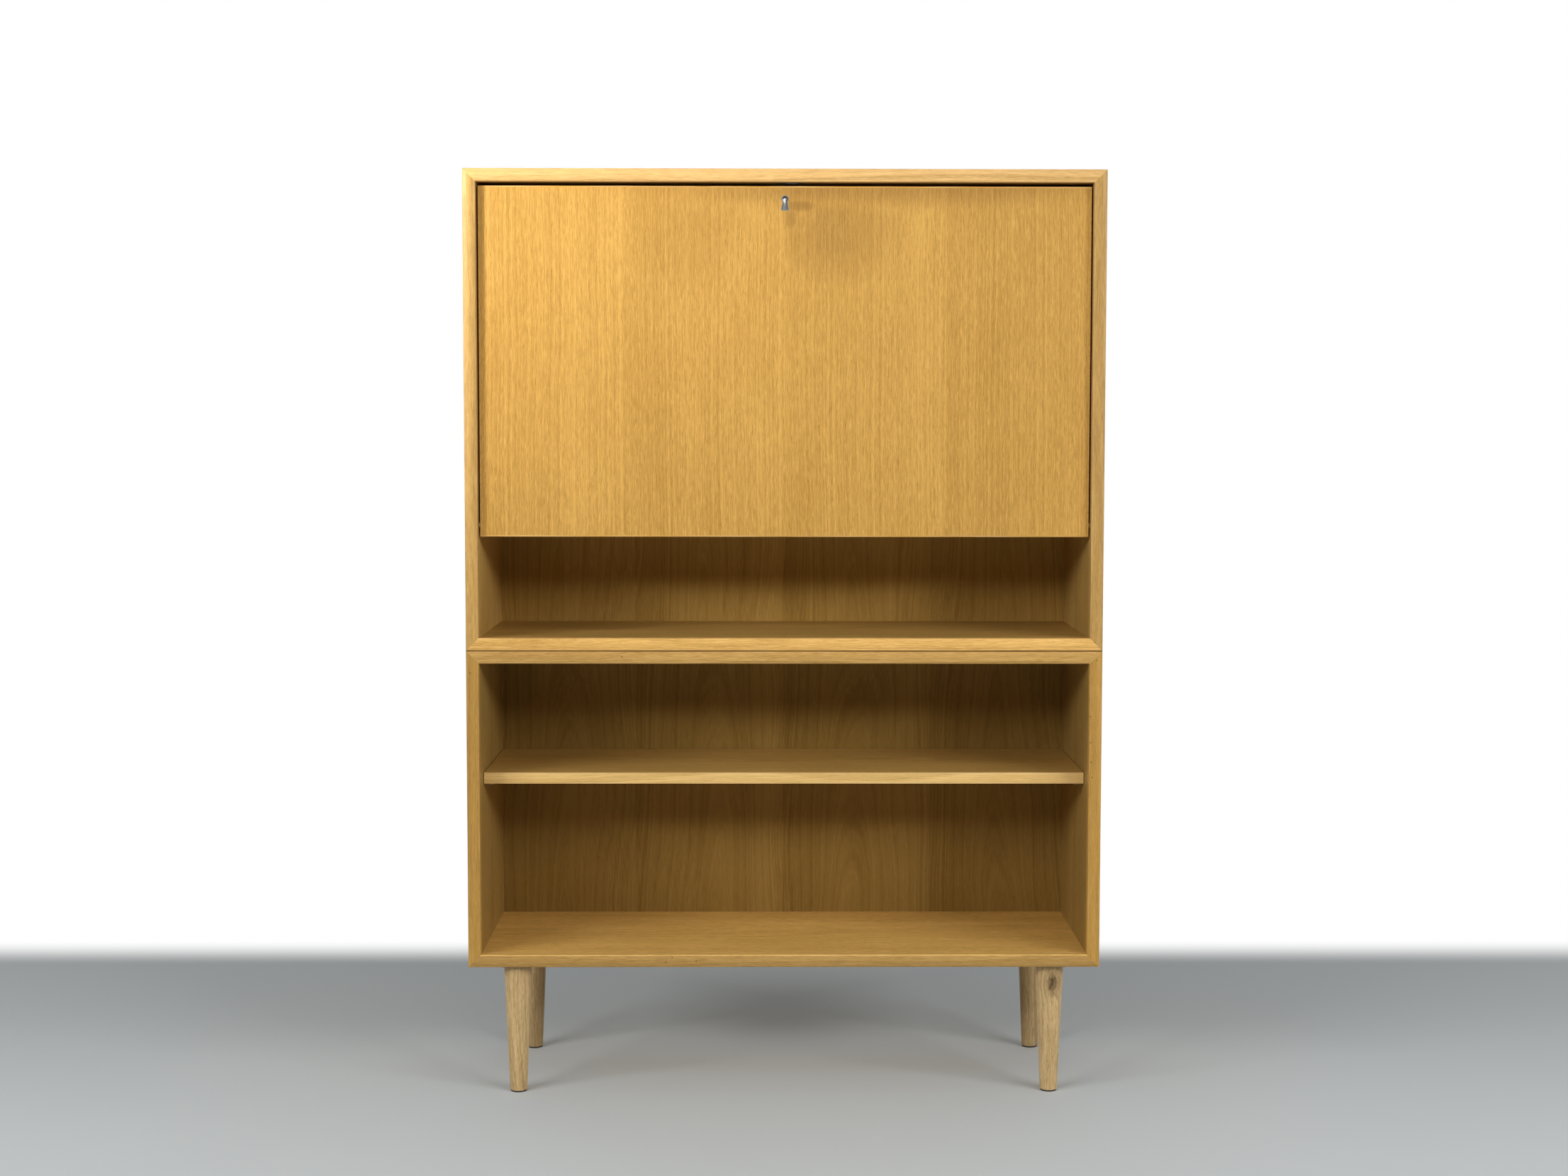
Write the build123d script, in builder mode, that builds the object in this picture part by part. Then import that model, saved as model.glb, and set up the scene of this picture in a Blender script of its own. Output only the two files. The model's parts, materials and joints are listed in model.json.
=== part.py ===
from build123d import *
import math
import os

# Oak secretary desk: two mitred boxes on turned legs, the upper one closed by a drop flap.
# Millimetres. The origin is on the floor under the middle, the front faces -Y and +Z is up.

# Cabinet
WIDTH = 900.0
DEPTH = 310.0
LOWER_HEIGHT = 453.0
UPPER_HEIGHT = 675.0
BOARD = 18.0
LIP_DEPTH = 14.0
LIP_CROWN = 2.8
LIP_ARRIS = 1.0
HOUSING = 6.0

# Back panels
BACK_THICK = 6.0
BACK_INSET = 8.0
BACK_REBATE = 8.0
BACK_PLAY = 0.5
BACK_SCREW_GRIP = 10.0

# Loose tongues in the mitred corners
TONGUE_WIDTH = 12.0
TONGUE_THICK = 4.0
TONGUE_STOP = 20.0
TONGUE_PLAY = 0.1

# Drop flap
FLAP_SETBACK = 12.4
FLAP_THICK = 18.0
FLAP_SIDE_GAP = 2.2
FLAP_TOP_GAP = 5.2
FLAP_STRIP = 2.0
FLAP_ARRIS = 0.8
FLAP_OVERLAP = 4.0
NICHE_HEIGHT = 143.0
STOP_WIDTH = 12.0
STOP_DEPTH = 14.0
STOP_HEIGHT = 40.0
STOP_DROP = 60.0
STOP_GAP = 0.2

# Inside of the desk
FLOOR_THICK = 18.0
FLOOR_LIP = 10.0
FLOOR_ROUND = 2.0
SWING_GAP = 0.6
WRITING_CLEAR = 256.0
LETTER_THICK = 12.0
LETTER_SETBACK = 60.0
LETTER_BAYS = 4
DIVIDER_THICK = 9.0
DIVIDER_TENON = 4.0
DIVIDER_HOLLOW = 24.0

# Pivot hinges
PIVOT_INSET = 6.0
LEAF_MARGIN = 1.0
LEAF_LENGTH = 54.0
LEAF_THICK = 2.5
PIN_DIAMETER = 5.0
PIN_PLAY = 0.05
SHOULDER_WALL = 2.0
HINGE_SLACK = 0.2

# Sliding stays
STAY_LEAN = 6.3
STAY_APEX = 13.0
STAY_BACK_GAP = 18.0
FLAP_SWING = 90.0
ROD_DIAMETER = 6.0
ROD_PLAY = 0.1
COLLAR_DIAMETER = 11.0
COLLAR_THICK = 7.0
COLLAR_GAP = 0.5
EYE_DIAMETER = 13.0
EYE_CHEEK = 0.2
EYE_PIN_DIAMETER = 4.0
EYE_GAP = 0.4
RIVET_DIAMETER = 7.0
RIVET_THICK = 1.5
GUIDE_DIAMETER = 20.0
GUIDE_WALL = 1.4
GUIDE_ROUND = 1.0
STUD_DIAMETER = 6.0
STUD_GRIP = 4.2
STUD_END_GAP = 0.3
BASE_LENGTH = 46.0
BASE_WIDTH = 16.0
BASE_THICK = 3.0
BASE_GAP = 0.5
BRACKET_WIDTH = 16.0
BRACKET_HEIGHT = 36.0
BRACKET_THICK = 2.5
BRACKET_ROUND = 3.0
BRACKET_MARGIN = 5.0
EAR_THICK = 3.0

# Lock
KEY_RADIUS = 5.2
KEY_DROP = 17.7
KEY_SKIRT = 16.2
KEY_WAIST = 3.6
KEY_FLARE = 5.8
KEY_RIM = 1.2
KEY_TAPER = 6.0
KEY_PLAY = 0.1
LOCK_WIDTH = 44.0
LOCK_DEPTH = 12.0
LOCK_WALL = 1.5
LOCK_FOOT = 4.0
LOCK_EAR = 8.0
LOCK_PLAY = 0.1
DRILL_PIN_DIAMETER = 2.6
BOLT_OFFSET = 9.0
BOLT_WIDTH = 14.0
BOLT_THICK = 6.0
BOLT_LENGTH = 26.0
BOLT_SINK = 0.3
BOLT_PLAY = 0.2
BOLT_THROW = 10.0
TALON_RADIUS = 4.0
TALON_DROP = 4.0
STRIKE_WIDTH = 30.0
STRIKE_DEPTH = 16.0
STRIKE_THICK = 2.0
STRIKE_PLAY = 0.6
STRIKE_HEADROOM = 1.0

# Loose shelf
SHELF_THICK = 16.0
SHELF_RISE = 239.0
SHELF_SETBACK = 46.0
SHELF_END_GAP = 1.0
SHELF_BACK_GAP = 2.0
SHELF_LIP = 9.0
SHELF_ROUND = 1.5
PEG_DIAMETER = 6.0
PEG_DEPTH = 10.0
PEG_HEAD = 9.0
PEG_REACH = 10.0
PEG_FLAT = 3.0
PEG_INSET = 40.0
PEG_PLAY = 0.1

# Legs
LEG_HEIGHT = 188.0
LEG_TOP = 40.0
LEG_FOOT = 24.5
LEG_ARRIS = 1.0
LEG_INSET_SIDE = 67.0
LEG_INSET_FRONT = 36.5
GLIDE_DIAMETER = 23.0
GLIDE_THICK = 2.0
GLIDE_NAIL = 3.0
GLIDE_NAIL_LENGTH = 14.0
LEG_PLATE = 48.0
LEG_PLATE_THICK = 2.5
LEG_PLATE_ROUND = 6.0
LEG_PLATE_MARGIN = 6.5
LEG_BOSS_DIAMETER = 13.0
LEG_BOSS_HEIGHT = 8.0
LEG_STUD_DIAMETER = 8.0
LEG_STUD_IN_LEG = 30.0
LEG_STUD_IN_BOARD = 12.0
LEG_STUD_PLAY = 0.1

# Screws
SCREW_DIAMETER = 3.0
SCREW_HEAD = 5.6
SCREW_LENGTH = 12.0
SCREW_POINT = 3.0
SCREW_PLAY = 0.1
SCREW_SINK_ANGLE = 82.0
JOIN_SCREW_DIAMETER = 4.0
JOIN_SCREW_HEAD = 7.6
JOIN_SCREW_GRIP = 12.0
JOIN_INSET_SIDE = 150.0
JOIN_INSET_FRONT = 75.0

# Levels and planes that follow from the sizes above
FRONT = -DEPTH / 2
REAR = DEPTH / 2
LIP_BACK = FRONT + LIP_DEPTH
INNER_HALF = WIDTH / 2 - BOARD
LOWER_BASE = LEG_HEIGHT
SEAM = LOWER_BASE + LOWER_HEIGHT
TOP = SEAM + UPPER_HEIGHT
CEILING = TOP - BOARD

BACK_REAR = REAR - BACK_INSET
BACK_FACE = BACK_REAR - BACK_THICK
BACK_WIDTH = WIDTH - 2 * (BOARD - BACK_REBATE)
BACK_SCREW_LENGTH = BACK_THICK + BACK_SCREW_GRIP
TONGUE_RUN = BACK_FACE - TONGUE_STOP - LIP_BACK

FLAP_FRONT = FRONT + FLAP_SETBACK
FLAP_INNER = FLAP_FRONT + FLAP_THICK
FLAP_HALF = INNER_HALF - FLAP_SIDE_GAP
FLAP_TOP = CEILING - FLAP_TOP_GAP
FLAP_BOTTOM = SEAM + BOARD + NICHE_HEIGHT
FLAP_HEIGHT = FLAP_TOP - FLAP_BOTTOM
DESK_TOP = FLAP_BOTTOM + FLAP_OVERLAP + FLOOR_THICK
PIVOT_Y = FLAP_INNER - PIVOT_INSET
PIVOT_Z = DESK_TOP - PIVOT_INSET
FLOOR_FRONT = PIVOT_Y + math.hypot(PIVOT_INSET, PIVOT_Z - FLAP_BOTTOM) + SWING_GAP

LETTER_BASE = DESK_TOP + WRITING_CLEAR
LETTER_TOP = LETTER_BASE + LETTER_THICK
LETTER_FRONT = FLAP_INNER + LETTER_SETBACK
LETTER_RUN = BACK_FACE - LETTER_FRONT
LETTER_PITCH = 2 * INNER_HALF / LETTER_BAYS

LEAF_WIDTH = 2 * (PIVOT_INSET - LEAF_MARGIN)
LEAF_MIDDLE = PIVOT_Z + (LEAF_LENGTH - LEAF_WIDTH) / 2

# The eye on the flap and the guide on the side lie at one distance from the flap's pivot,
# so the rod through both turns by half of the flap's own turn.
STAY_SLOPE = math.radians(STAY_LEAN + STAY_APEX / 2)
STAY_SPREAD = 2 * math.sin(math.radians((STAY_APEX + FLAP_SWING) / 2))
STAY_TAIL = GUIDE_DIAMETER / 2 + COLLAR_GAP + COLLAR_THICK
STAY_ROOM = BACK_FACE - STAY_BACK_GAP - PIVOT_Y - STAY_TAIL * math.cos(STAY_SLOPE)
STAY_RADIUS = STAY_ROOM / (math.sin(math.radians(STAY_LEAN)) + STAY_SPREAD * math.cos(STAY_SLOPE))
EYE_Y = PIVOT_Y + STAY_RADIUS * math.sin(math.radians(STAY_LEAN))
EYE_Z = PIVOT_Z + STAY_RADIUS * math.cos(math.radians(STAY_LEAN))
GUIDE_Y = PIVOT_Y + STAY_RADIUS * math.sin(math.radians(STAY_LEAN + STAY_APEX))
GUIDE_Z = PIVOT_Z + STAY_RADIUS * math.cos(math.radians(STAY_LEAN + STAY_APEX))
ROD_LENGTH = STAY_RADIUS * STAY_SPREAD + GUIDE_DIAMETER / 2 + COLLAR_GAP
ROD_DIRECTION = (0, math.cos(STAY_SLOPE), -math.sin(STAY_SLOPE))
GUIDE_OUTER = ROD_DIAMETER / 2 + ROD_PLAY + GUIDE_WALL + STUD_GRIP + STUD_END_GAP
GUIDE_INNER = ROD_DIAMETER / 2 + ROD_PLAY + GUIDE_WALL
ROD_X = INNER_HALF - BASE_THICK - BASE_GAP - GUIDE_OUTER
EYE_THICK = ROD_DIAMETER + 2 * EYE_CHEEK
EAR_FACE = EYE_THICK / 2 + EYE_GAP

KEY_Z = FLAP_TOP - KEY_DROP
LOCK_HEIGHT = KEY_DROP + KEY_SKIRT + LOCK_FOOT
LOCK_FRONT = FLAP_INNER - LOCK_DEPTH
LOCK_MIDDLE = (LOCK_FRONT + FLAP_INNER) / 2
LOCK_PLATE = LOCK_WIDTH + 2 * LOCK_EAR
BOLT_TOP = FLAP_TOP - BOLT_SINK
STRIKE_MORTISE = BOLT_THROW - FLAP_TOP_GAP + STRIKE_HEADROOM

SHELF_UNDER = LOWER_BASE + BOARD + SHELF_RISE
SHELF_FRONT = FRONT + SHELF_SETBACK
SHELF_REAR = BACK_FACE - SHELF_BACK_GAP
SHELF_HALF = INNER_HALF - SHELF_END_GAP
PEG_Z = SHELF_UNDER - PEG_FLAT
PEG_ROWS = (SHELF_FRONT + PEG_INSET, SHELF_REAR - PEG_INSET)

LEG_CENTRES = [
    (column * (WIDTH / 2 - LEG_INSET_SIDE), row * (DEPTH / 2 - LEG_INSET_FRONT))
    for row in (-1, 1)
    for column in (-1, 1)
]
LEG_NAMES = ("front_left", "front_right", "rear_left", "rear_right")
LEG_SHOULDER = LEG_HEIGHT - LEG_PLATE_THICK
HANDS = (("left", -1), ("right", 1))
BOXES = (("lower", LOWER_BASE, LOWER_HEIGHT), ("upper", SEAM, UPPER_HEIGHT))

os.makedirs("parts", exist_ok=True)


def keep(piece, name):
    """Label a finished piece and write it."""
    piece.part.label = name
    export_step(piece.part, f"parts/{name}.step")


def front_plane(y):
    """Upright plane at depth y, with local axes along X and Z; a negative extrusion goes to the rear."""
    return Plane.XZ.offset(-y)


def facing(x, y, z, outward):
    """Place of a screw whose head looks along outward."""
    return Plane(origin=(x, y, z), z_dir=outward).location


def back_height(height):
    """Height of the pocket for a back panel in a box of the given height."""
    return height - 2 * (BOARD - BACK_REBATE)


# Screws and their places
def screw(diameter, head, length):
    """Countersunk screw, head up at the origin."""
    sink = (head - diameter) / 2 / math.tan(math.radians(SCREW_SINK_ANGLE / 2))
    with BuildPart() as body:
        with BuildSketch(Plane.XZ):
            with BuildLine():
                Polyline(
                    (0, 0),
                    (head / 2, 0),
                    (diameter / 2, -sink),
                    (diameter / 2, SCREW_POINT - length),
                    (0, -length),
                    close=True,
                )
            make_face()
        revolve(axis=Axis.Z)
    return body.part


def between(low, high, count):
    """Evenly spaced places that leave the two ends free."""
    return [low + (high - low) * (place + 1) / (count + 1) for place in range(count)]


SIDE_SCREW_LEVELS = {
    LOWER_BASE: between(LOWER_BASE + BOARD, SEAM - BOARD, 2),
    SEAM: between(SEAM + BOARD, DESK_TOP - FLOOR_THICK, 1)
    + between(DESK_TOP, LETTER_BASE, 1)
    + between(LETTER_TOP, CEILING, 1),
}


def back_screw_places(base, height):
    """Screws round the edge of a back panel, heads to the rear, clear of the boards housed in the box."""
    reach_x = (BACK_WIDTH - BACK_REBATE) / 2
    reach_z = (back_height(height) - BACK_REBATE) / 2
    middle = base + height / 2
    bay_middles = [(bay + 0.5) * LETTER_PITCH - INNER_HALF for bay in range(LETTER_BAYS)]
    rows = [(x, middle + end * reach_z) for x in (-reach_x, *bay_middles, reach_x) for end in (-1, 1)]
    columns = [(end * reach_x, z) for z in SIDE_SCREW_LEVELS[base] for end in (-1, 1)]
    return [facing(x, BACK_REAR, z, (0, 1, 0)) for x, z in rows + columns]


def leaf_screw_places(hand, face, outward):
    """Two screws along a hinge leaf whose outer face is at x = face."""
    above_pin = PIVOT_Z + LEAF_WIDTH / 2
    spots = between(above_pin, above_pin + LEAF_LENGTH - LEAF_WIDTH, 2)
    return [facing(hand * face, PIVOT_Y, z, (outward * hand, 0, 0)) for z in spots]


def side_leaf_screws(hand):
    """Screws of the hinge plate in a side board."""
    return leaf_screw_places(hand, INNER_HALF, -1)


def flap_leaf_screws(hand):
    """Screws of the hinge leaf in an end of the flap."""
    return leaf_screw_places(hand, FLAP_HALF, 1)


def stay_base_screws(hand):
    """Screws above and below the guide on its base."""
    reach = (BASE_LENGTH - BASE_WIDTH) / 2
    x = hand * (INNER_HALF - BASE_THICK)
    return [facing(x, GUIDE_Y, GUIDE_Z + end * reach, (-hand, 0, 0)) for end in (-1, 1)]


def bracket_screws(hand):
    """Screws of the stay's bracket on the flap, beside its ear."""
    x = hand * (ROD_X - EAR_FACE - (BRACKET_WIDTH + EAR_THICK) / 2)
    reach = BRACKET_HEIGHT / 2 - BRACKET_MARGIN
    return [facing(x, FLAP_INNER + BRACKET_THICK, EYE_Z + end * reach, (0, 1, 0)) for end in (-1, 1)]


def lock_screws():
    """Screws in the ears of the lock's plate."""
    reach = (LOCK_WIDTH + LOCK_EAR) / 2
    return [facing(end * reach, FLAP_INNER, FLAP_TOP - LOCK_HEIGHT / 2, (0, 1, 0)) for end in (-1, 1)]


def strike_screws():
    """Screws at the ends of the strike plate, heads down."""
    reach = (BOLT_WIDTH / 2 + STRIKE_PLAY + STRIKE_WIDTH / 2) / 2
    return [facing(BOLT_OFFSET + end * reach, LOCK_MIDDLE, CEILING, (0, 0, -1)) for end in (-1, 1)]


def leg_plate_screws(x, y):
    """Screws at the corners of a leg plate, heads down."""
    reach = LEG_PLATE / 2 - LEG_PLATE_MARGIN
    corners = [(x + a * reach, y + b * reach) for a in (-1, 1) for b in (-1, 1)]
    return [facing(cx, cy, LEG_SHOULDER, (0, 0, -1)) for cx, cy in corners]


CARCASS_FITTING_SCREWS = strike_screws()
FLAP_FITTING_SCREWS = lock_screws()
for _, hand in HANDS:
    CARCASS_FITTING_SCREWS += side_leaf_screws(hand) + stay_base_screws(hand)
    FLAP_FITTING_SCREWS += flap_leaf_screws(hand) + bracket_screws(hand)
LEG_SCREWS = [place for x, y in LEG_CENTRES for place in leg_plate_screws(x, y)]
JOIN_SCREWS = [
    facing(a * (WIDTH / 2 - JOIN_INSET_SIDE), b * (DEPTH / 2 - JOIN_INSET_FRONT), SEAM - BOARD, (0, 0, -1))
    for a in (-1, 1)
    for b in (-1, 1)
]
PILOT = SCREW_DIAMETER / 2 + SCREW_PLAY
SINK = SCREW_HEAD / 2 + SCREW_PLAY
JOIN_PILOT = JOIN_SCREW_DIAMETER / 2 + SCREW_PLAY
JOIN_LENGTH = BOARD + JOIN_SCREW_GRIP


# Boards of the two boxes
def tongues(base, height, play=0.0):
    """Four loose tongues across the mitres of a box; play widens them into their slots."""
    with BuildPart() as strips:
        with BuildSketch(front_plane(LIP_BACK)):
            for a in (-1, 1):
                for b in (-1, 1):
                    corner_x = a * (WIDTH - BOARD) / 2
                    corner_z = base + height / 2 + b * (height - BOARD) / 2
                    with Locations((corner_x, corner_z)):
                        Rectangle(TONGUE_WIDTH + 2 * play, TONGUE_THICK + 2 * play, rotation=-45 * a * b)
        extrude(amount=-TONGUE_RUN)
    return strips.part


def mitred_board(outline, base, height):
    """Board of one front outline, rebated for the back panel and slotted for the tongues."""
    with BuildPart() as board:
        with BuildSketch(front_plane(LIP_BACK)):
            with BuildLine():
                Polyline(*outline, close=True)
            make_face()
        extrude(amount=LIP_BACK - REAR)
        with Locations((0, (BACK_FACE + REAR) / 2, base + height / 2)):
            Box(BACK_WIDTH, REAR - BACK_FACE, back_height(height), mode=Mode.SUBTRACT)
        add(tongues(base, height, TONGUE_PLAY), mode=Mode.SUBTRACT)
        with Locations(*back_screw_places(base, height)):
            Hole(PILOT, BACK_SCREW_LENGTH)
    return board.part


def side_board(hand, base, height):
    """Upright at the left or right of a box."""
    outer = hand * WIDTH / 2
    inner = hand * INNER_HALF
    roof = base + height
    outline = ((outer, base), (outer, roof), (inner, roof - BOARD), (inner, base + BOARD))
    return mitred_board(outline, base, height)


def level_board(end, base, height):
    """Bottom or top of a box, for end -1 or 1."""
    outer = base + height * (1 + end) / 2
    inner = outer - end * BOARD
    outline = ((-WIDTH / 2, outer), (WIDTH / 2, outer), (INNER_HALF, inner), (-INNER_HALF, inner))
    return mitred_board(outline, base, height)


def lip(origin, inward, length):
    """Solid front strip with a rounded face, mitred at both ends; origin is the middle of its outer edge."""
    across = Vector(*inward)
    along = across.cross(Vector(0, 1, 0))
    with BuildPart() as strip:
        with BuildSketch(Plane(origin=origin, x_dir=across, z_dir=along)) as section:
            with BuildLine():
                ThreePointArc((0, LIP_CROWN), (BOARD / 2, 0), (BOARD, LIP_CROWN))
                Polyline((BOARD, LIP_CROWN), (BOARD, LIP_DEPTH), (0, LIP_DEPTH), (0, LIP_CROWN))
            make_face()
            fillet(section.vertices().group_by(Axis.Y)[0], LIP_ARRIS)
        extrude(amount=length / 2, both=True)
        for end in (-1, 1):
            corner = Vector(*origin) + along * (end * length / 2)
            split(bisect_by=Plane(origin=corner, z_dir=across + along * end), keep=Keep.BOTTOM)
    return strip


for box, base, height in BOXES:
    middle = base + height / 2
    keep(lip((0, FRONT, base + height), (0, 0, -1), WIDTH), f"{box}_lip_top")
    keep(lip((0, FRONT, base), (0, 0, 1), WIDTH), f"{box}_lip_bottom")
    keep(lip((-WIDTH / 2, FRONT, middle), (1, 0, 0), height), f"{box}_lip_left")
    keep(lip((WIDTH / 2, FRONT, middle), (-1, 0, 0), height), f"{box}_lip_right")

    with BuildPart() as corner_tongues:
        add(tongues(base, height))
    keep(corner_tongues, f"{box}_corner_tongues")

    with BuildPart() as back_panel:
        with Locations((0, (BACK_FACE + BACK_REAR) / 2, middle)):
            Box(BACK_WIDTH - 2 * BACK_PLAY, BACK_THICK, back_height(height) - 2 * BACK_PLAY)
        with Locations(*back_screw_places(base, height)):
            CounterSinkHole(PILOT, SINK, BACK_SCREW_LENGTH)
    keep(back_panel, f"{box}_back_panel")

with BuildPart() as back_panel_screws:
    for _, base, height in BOXES:
        with Locations(*back_screw_places(base, height)):
            add(screw(SCREW_DIAMETER, SCREW_HEAD, BACK_SCREW_LENGTH))
keep(back_panel_screws, "back_panel_screws")

for side, hand in HANDS:
    with BuildPart() as upper_side:
        add(side_board(hand, SEAM, UPPER_HEIGHT))
        for underside, thick, front in (
            (DESK_TOP - FLOOR_THICK, FLOOR_THICK, FLOOR_FRONT),
            (LETTER_BASE, LETTER_THICK, LETTER_FRONT),
        ):
            middle = (hand * (INNER_HALF + HOUSING / 2), (front + BACK_FACE) / 2, underside + thick / 2)
            with Locations(middle):
                Box(HOUSING, BACK_FACE - front, thick, mode=Mode.SUBTRACT)
        with BuildSketch(Plane.YZ.offset(hand * INNER_HALF)):
            with Locations((PIVOT_Y, LEAF_MIDDLE)):
                SlotOverall(LEAF_LENGTH, LEAF_WIDTH, rotation=90)
        extrude(amount=hand * LEAF_THICK, mode=Mode.SUBTRACT)
        with Locations(*side_leaf_screws(hand), *stay_base_screws(hand)):
            Hole(PILOT, SCREW_LENGTH)
    keep(upper_side, f"upper_{side}_side")

    with BuildPart() as lower_side:
        add(side_board(hand, LOWER_BASE, LOWER_HEIGHT))
        with Locations(*[facing(hand * INNER_HALF, y, PEG_Z, (-hand, 0, 0)) for y in PEG_ROWS]):
            Hole(PEG_DIAMETER / 2 + PEG_PLAY, PEG_DEPTH)
    keep(lower_side, f"lower_{side}_side")

with BuildPart() as upper_top:
    add(level_board(1, SEAM, UPPER_HEIGHT))
    with Locations((0, (LETTER_FRONT + BACK_FACE) / 2, CEILING + DIVIDER_TENON / 2)):
        with GridLocations(LETTER_PITCH, 0, LETTER_BAYS - 1, 1):
            Box(DIVIDER_THICK, LETTER_RUN, DIVIDER_TENON, mode=Mode.SUBTRACT)
    with Locations((BOLT_OFFSET, LOCK_MIDDLE, CEILING)):
        Box(
            STRIKE_WIDTH + 2 * LOCK_PLAY,
            STRIKE_DEPTH + 2 * LOCK_PLAY,
            2 * STRIKE_THICK,
            mode=Mode.SUBTRACT,
        )
        Box(
            BOLT_WIDTH + 2 * STRIKE_PLAY,
            BOLT_THICK + 2 * STRIKE_PLAY,
            2 * STRIKE_MORTISE,
            mode=Mode.SUBTRACT,
        )
    with Locations(*strike_screws()):
        Hole(PILOT, SCREW_LENGTH)
keep(upper_top, "upper_top_panel")

with BuildPart() as upper_bottom:
    add(level_board(-1, SEAM, UPPER_HEIGHT))
    with Locations(*JOIN_SCREWS):
        Hole(JOIN_PILOT, JOIN_LENGTH)
keep(upper_bottom, "upper_bottom_panel")

with BuildPart() as lower_top:
    add(level_board(1, LOWER_BASE, LOWER_HEIGHT))
    with Locations(*JOIN_SCREWS):
        CounterSinkHole(JOIN_PILOT, JOIN_SCREW_HEAD / 2 + SCREW_PLAY, JOIN_LENGTH)
keep(lower_top, "lower_top_panel")

with BuildPart() as joining_screws:
    with Locations(*JOIN_SCREWS):
        add(screw(JOIN_SCREW_DIAMETER, JOIN_SCREW_HEAD, JOIN_LENGTH))
keep(joining_screws, "joining_screws")

with BuildPart() as lower_bottom:
    add(level_board(-1, LOWER_BASE, LOWER_HEIGHT))
    with Locations(*[facing(x, y, LOWER_BASE, (0, 0, -1)) for x, y in LEG_CENTRES]):
        Hole(LEG_BOSS_DIAMETER / 2 + LEG_STUD_PLAY, LEG_BOSS_HEIGHT)
        Hole(LEG_STUD_DIAMETER / 2 + LEG_STUD_PLAY, LEG_STUD_IN_BOARD)
    with Locations(*LEG_SCREWS):
        Hole(PILOT, SCREW_LENGTH)
keep(lower_bottom, "lower_bottom_panel")

# Inside of the desk
with BuildPart() as writing_floor:
    floor_run = BACK_FACE - FLOOR_FRONT - FLOOR_LIP
    with Locations((0, BACK_FACE - floor_run / 2, DESK_TOP - FLOOR_THICK / 2)):
        Box(2 * (INNER_HALF + HOUSING), floor_run, FLOOR_THICK)
keep(writing_floor, "writing_floor")

with BuildPart() as floor_strip:
    with Locations((0, FLOOR_FRONT + FLOOR_LIP / 2, DESK_TOP - FLOOR_THICK / 2)):
        Box(2 * (INNER_HALF + HOUSING), FLOOR_LIP, FLOOR_THICK)
    fillet(floor_strip.edges().filter_by(Axis.X).group_by(Axis.Y)[0], FLOOR_ROUND)
keep(floor_strip, "writing_floor_strip")

with BuildPart() as letter_shelf:
    with Locations((0, (LETTER_FRONT + BACK_FACE) / 2, LETTER_BASE + LETTER_THICK / 2)):
        Box(2 * (INNER_HALF + HOUSING), LETTER_RUN, LETTER_THICK)
    with Locations((0, (LETTER_FRONT + BACK_FACE) / 2, LETTER_TOP - DIVIDER_TENON / 2)):
        with GridLocations(LETTER_PITCH, 0, LETTER_BAYS - 1, 1):
            Box(DIVIDER_THICK, LETTER_RUN, DIVIDER_TENON, mode=Mode.SUBTRACT)
keep(letter_shelf, "letter_shelf")

with BuildPart() as divider:
    with BuildSketch(Plane.YZ):
        with BuildLine():
            ThreePointArc(
                (LETTER_FRONT, LETTER_TOP),
                (LETTER_FRONT + DIVIDER_HOLLOW, (LETTER_TOP + CEILING) / 2),
                (LETTER_FRONT, CEILING),
            )
            Polyline(
                (LETTER_FRONT, CEILING),
                (LETTER_FRONT, CEILING + DIVIDER_TENON),
                (BACK_FACE, CEILING + DIVIDER_TENON),
                (BACK_FACE, LETTER_TOP - DIVIDER_TENON),
                (LETTER_FRONT, LETTER_TOP - DIVIDER_TENON),
                (LETTER_FRONT, LETTER_TOP),
            )
        make_face()
    extrude(amount=DIVIDER_THICK / 2, both=True)

with BuildPart() as letter_dividers:
    with GridLocations(LETTER_PITCH, 0, LETTER_BAYS - 1, 1):
        add(divider.part)
keep(letter_dividers, "letter_dividers")

with BuildPart() as flap_stops:
    for _, hand in HANDS:
        stop_y = FLAP_INNER + STOP_GAP + STOP_DEPTH / 2
        with Locations((hand * (INNER_HALF - STOP_WIDTH / 2), stop_y, FLAP_TOP - STOP_DROP)):
            Box(STOP_WIDTH, STOP_DEPTH, STOP_HEIGHT)
keep(flap_stops, "flap_stops")

# Lock: the outline of the keyhole is drawn from the middle of its round part
with BuildSketch() as keyhole:
    Circle(KEY_RADIUS)
    with BuildLine():
        shoulder = -math.sqrt(KEY_RADIUS**2 - KEY_WAIST**2)
        Polyline(
            (KEY_WAIST, shoulder),
            (KEY_FLARE, -KEY_SKIRT),
            (-KEY_FLARE, -KEY_SKIRT),
            (-KEY_WAIST, shoulder),
            close=True,
        )
    make_face()


def keyhole_through(grow):
    """Straight hole of the keyhole's outline, wider by grow, from the flap's face into the lock."""
    with BuildPart() as hole:
        with BuildSketch(Plane(origin=(0, FLAP_FRONT, KEY_Z), x_dir=(1, 0, 0), z_dir=(0, -1, 0))):
            add(keyhole.sketch)
            if grow:
                offset(amount=grow)
        extrude(amount=-(LOCK_FRONT - FLAP_FRONT + LOCK_WALL))
    return hole.part


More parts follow.
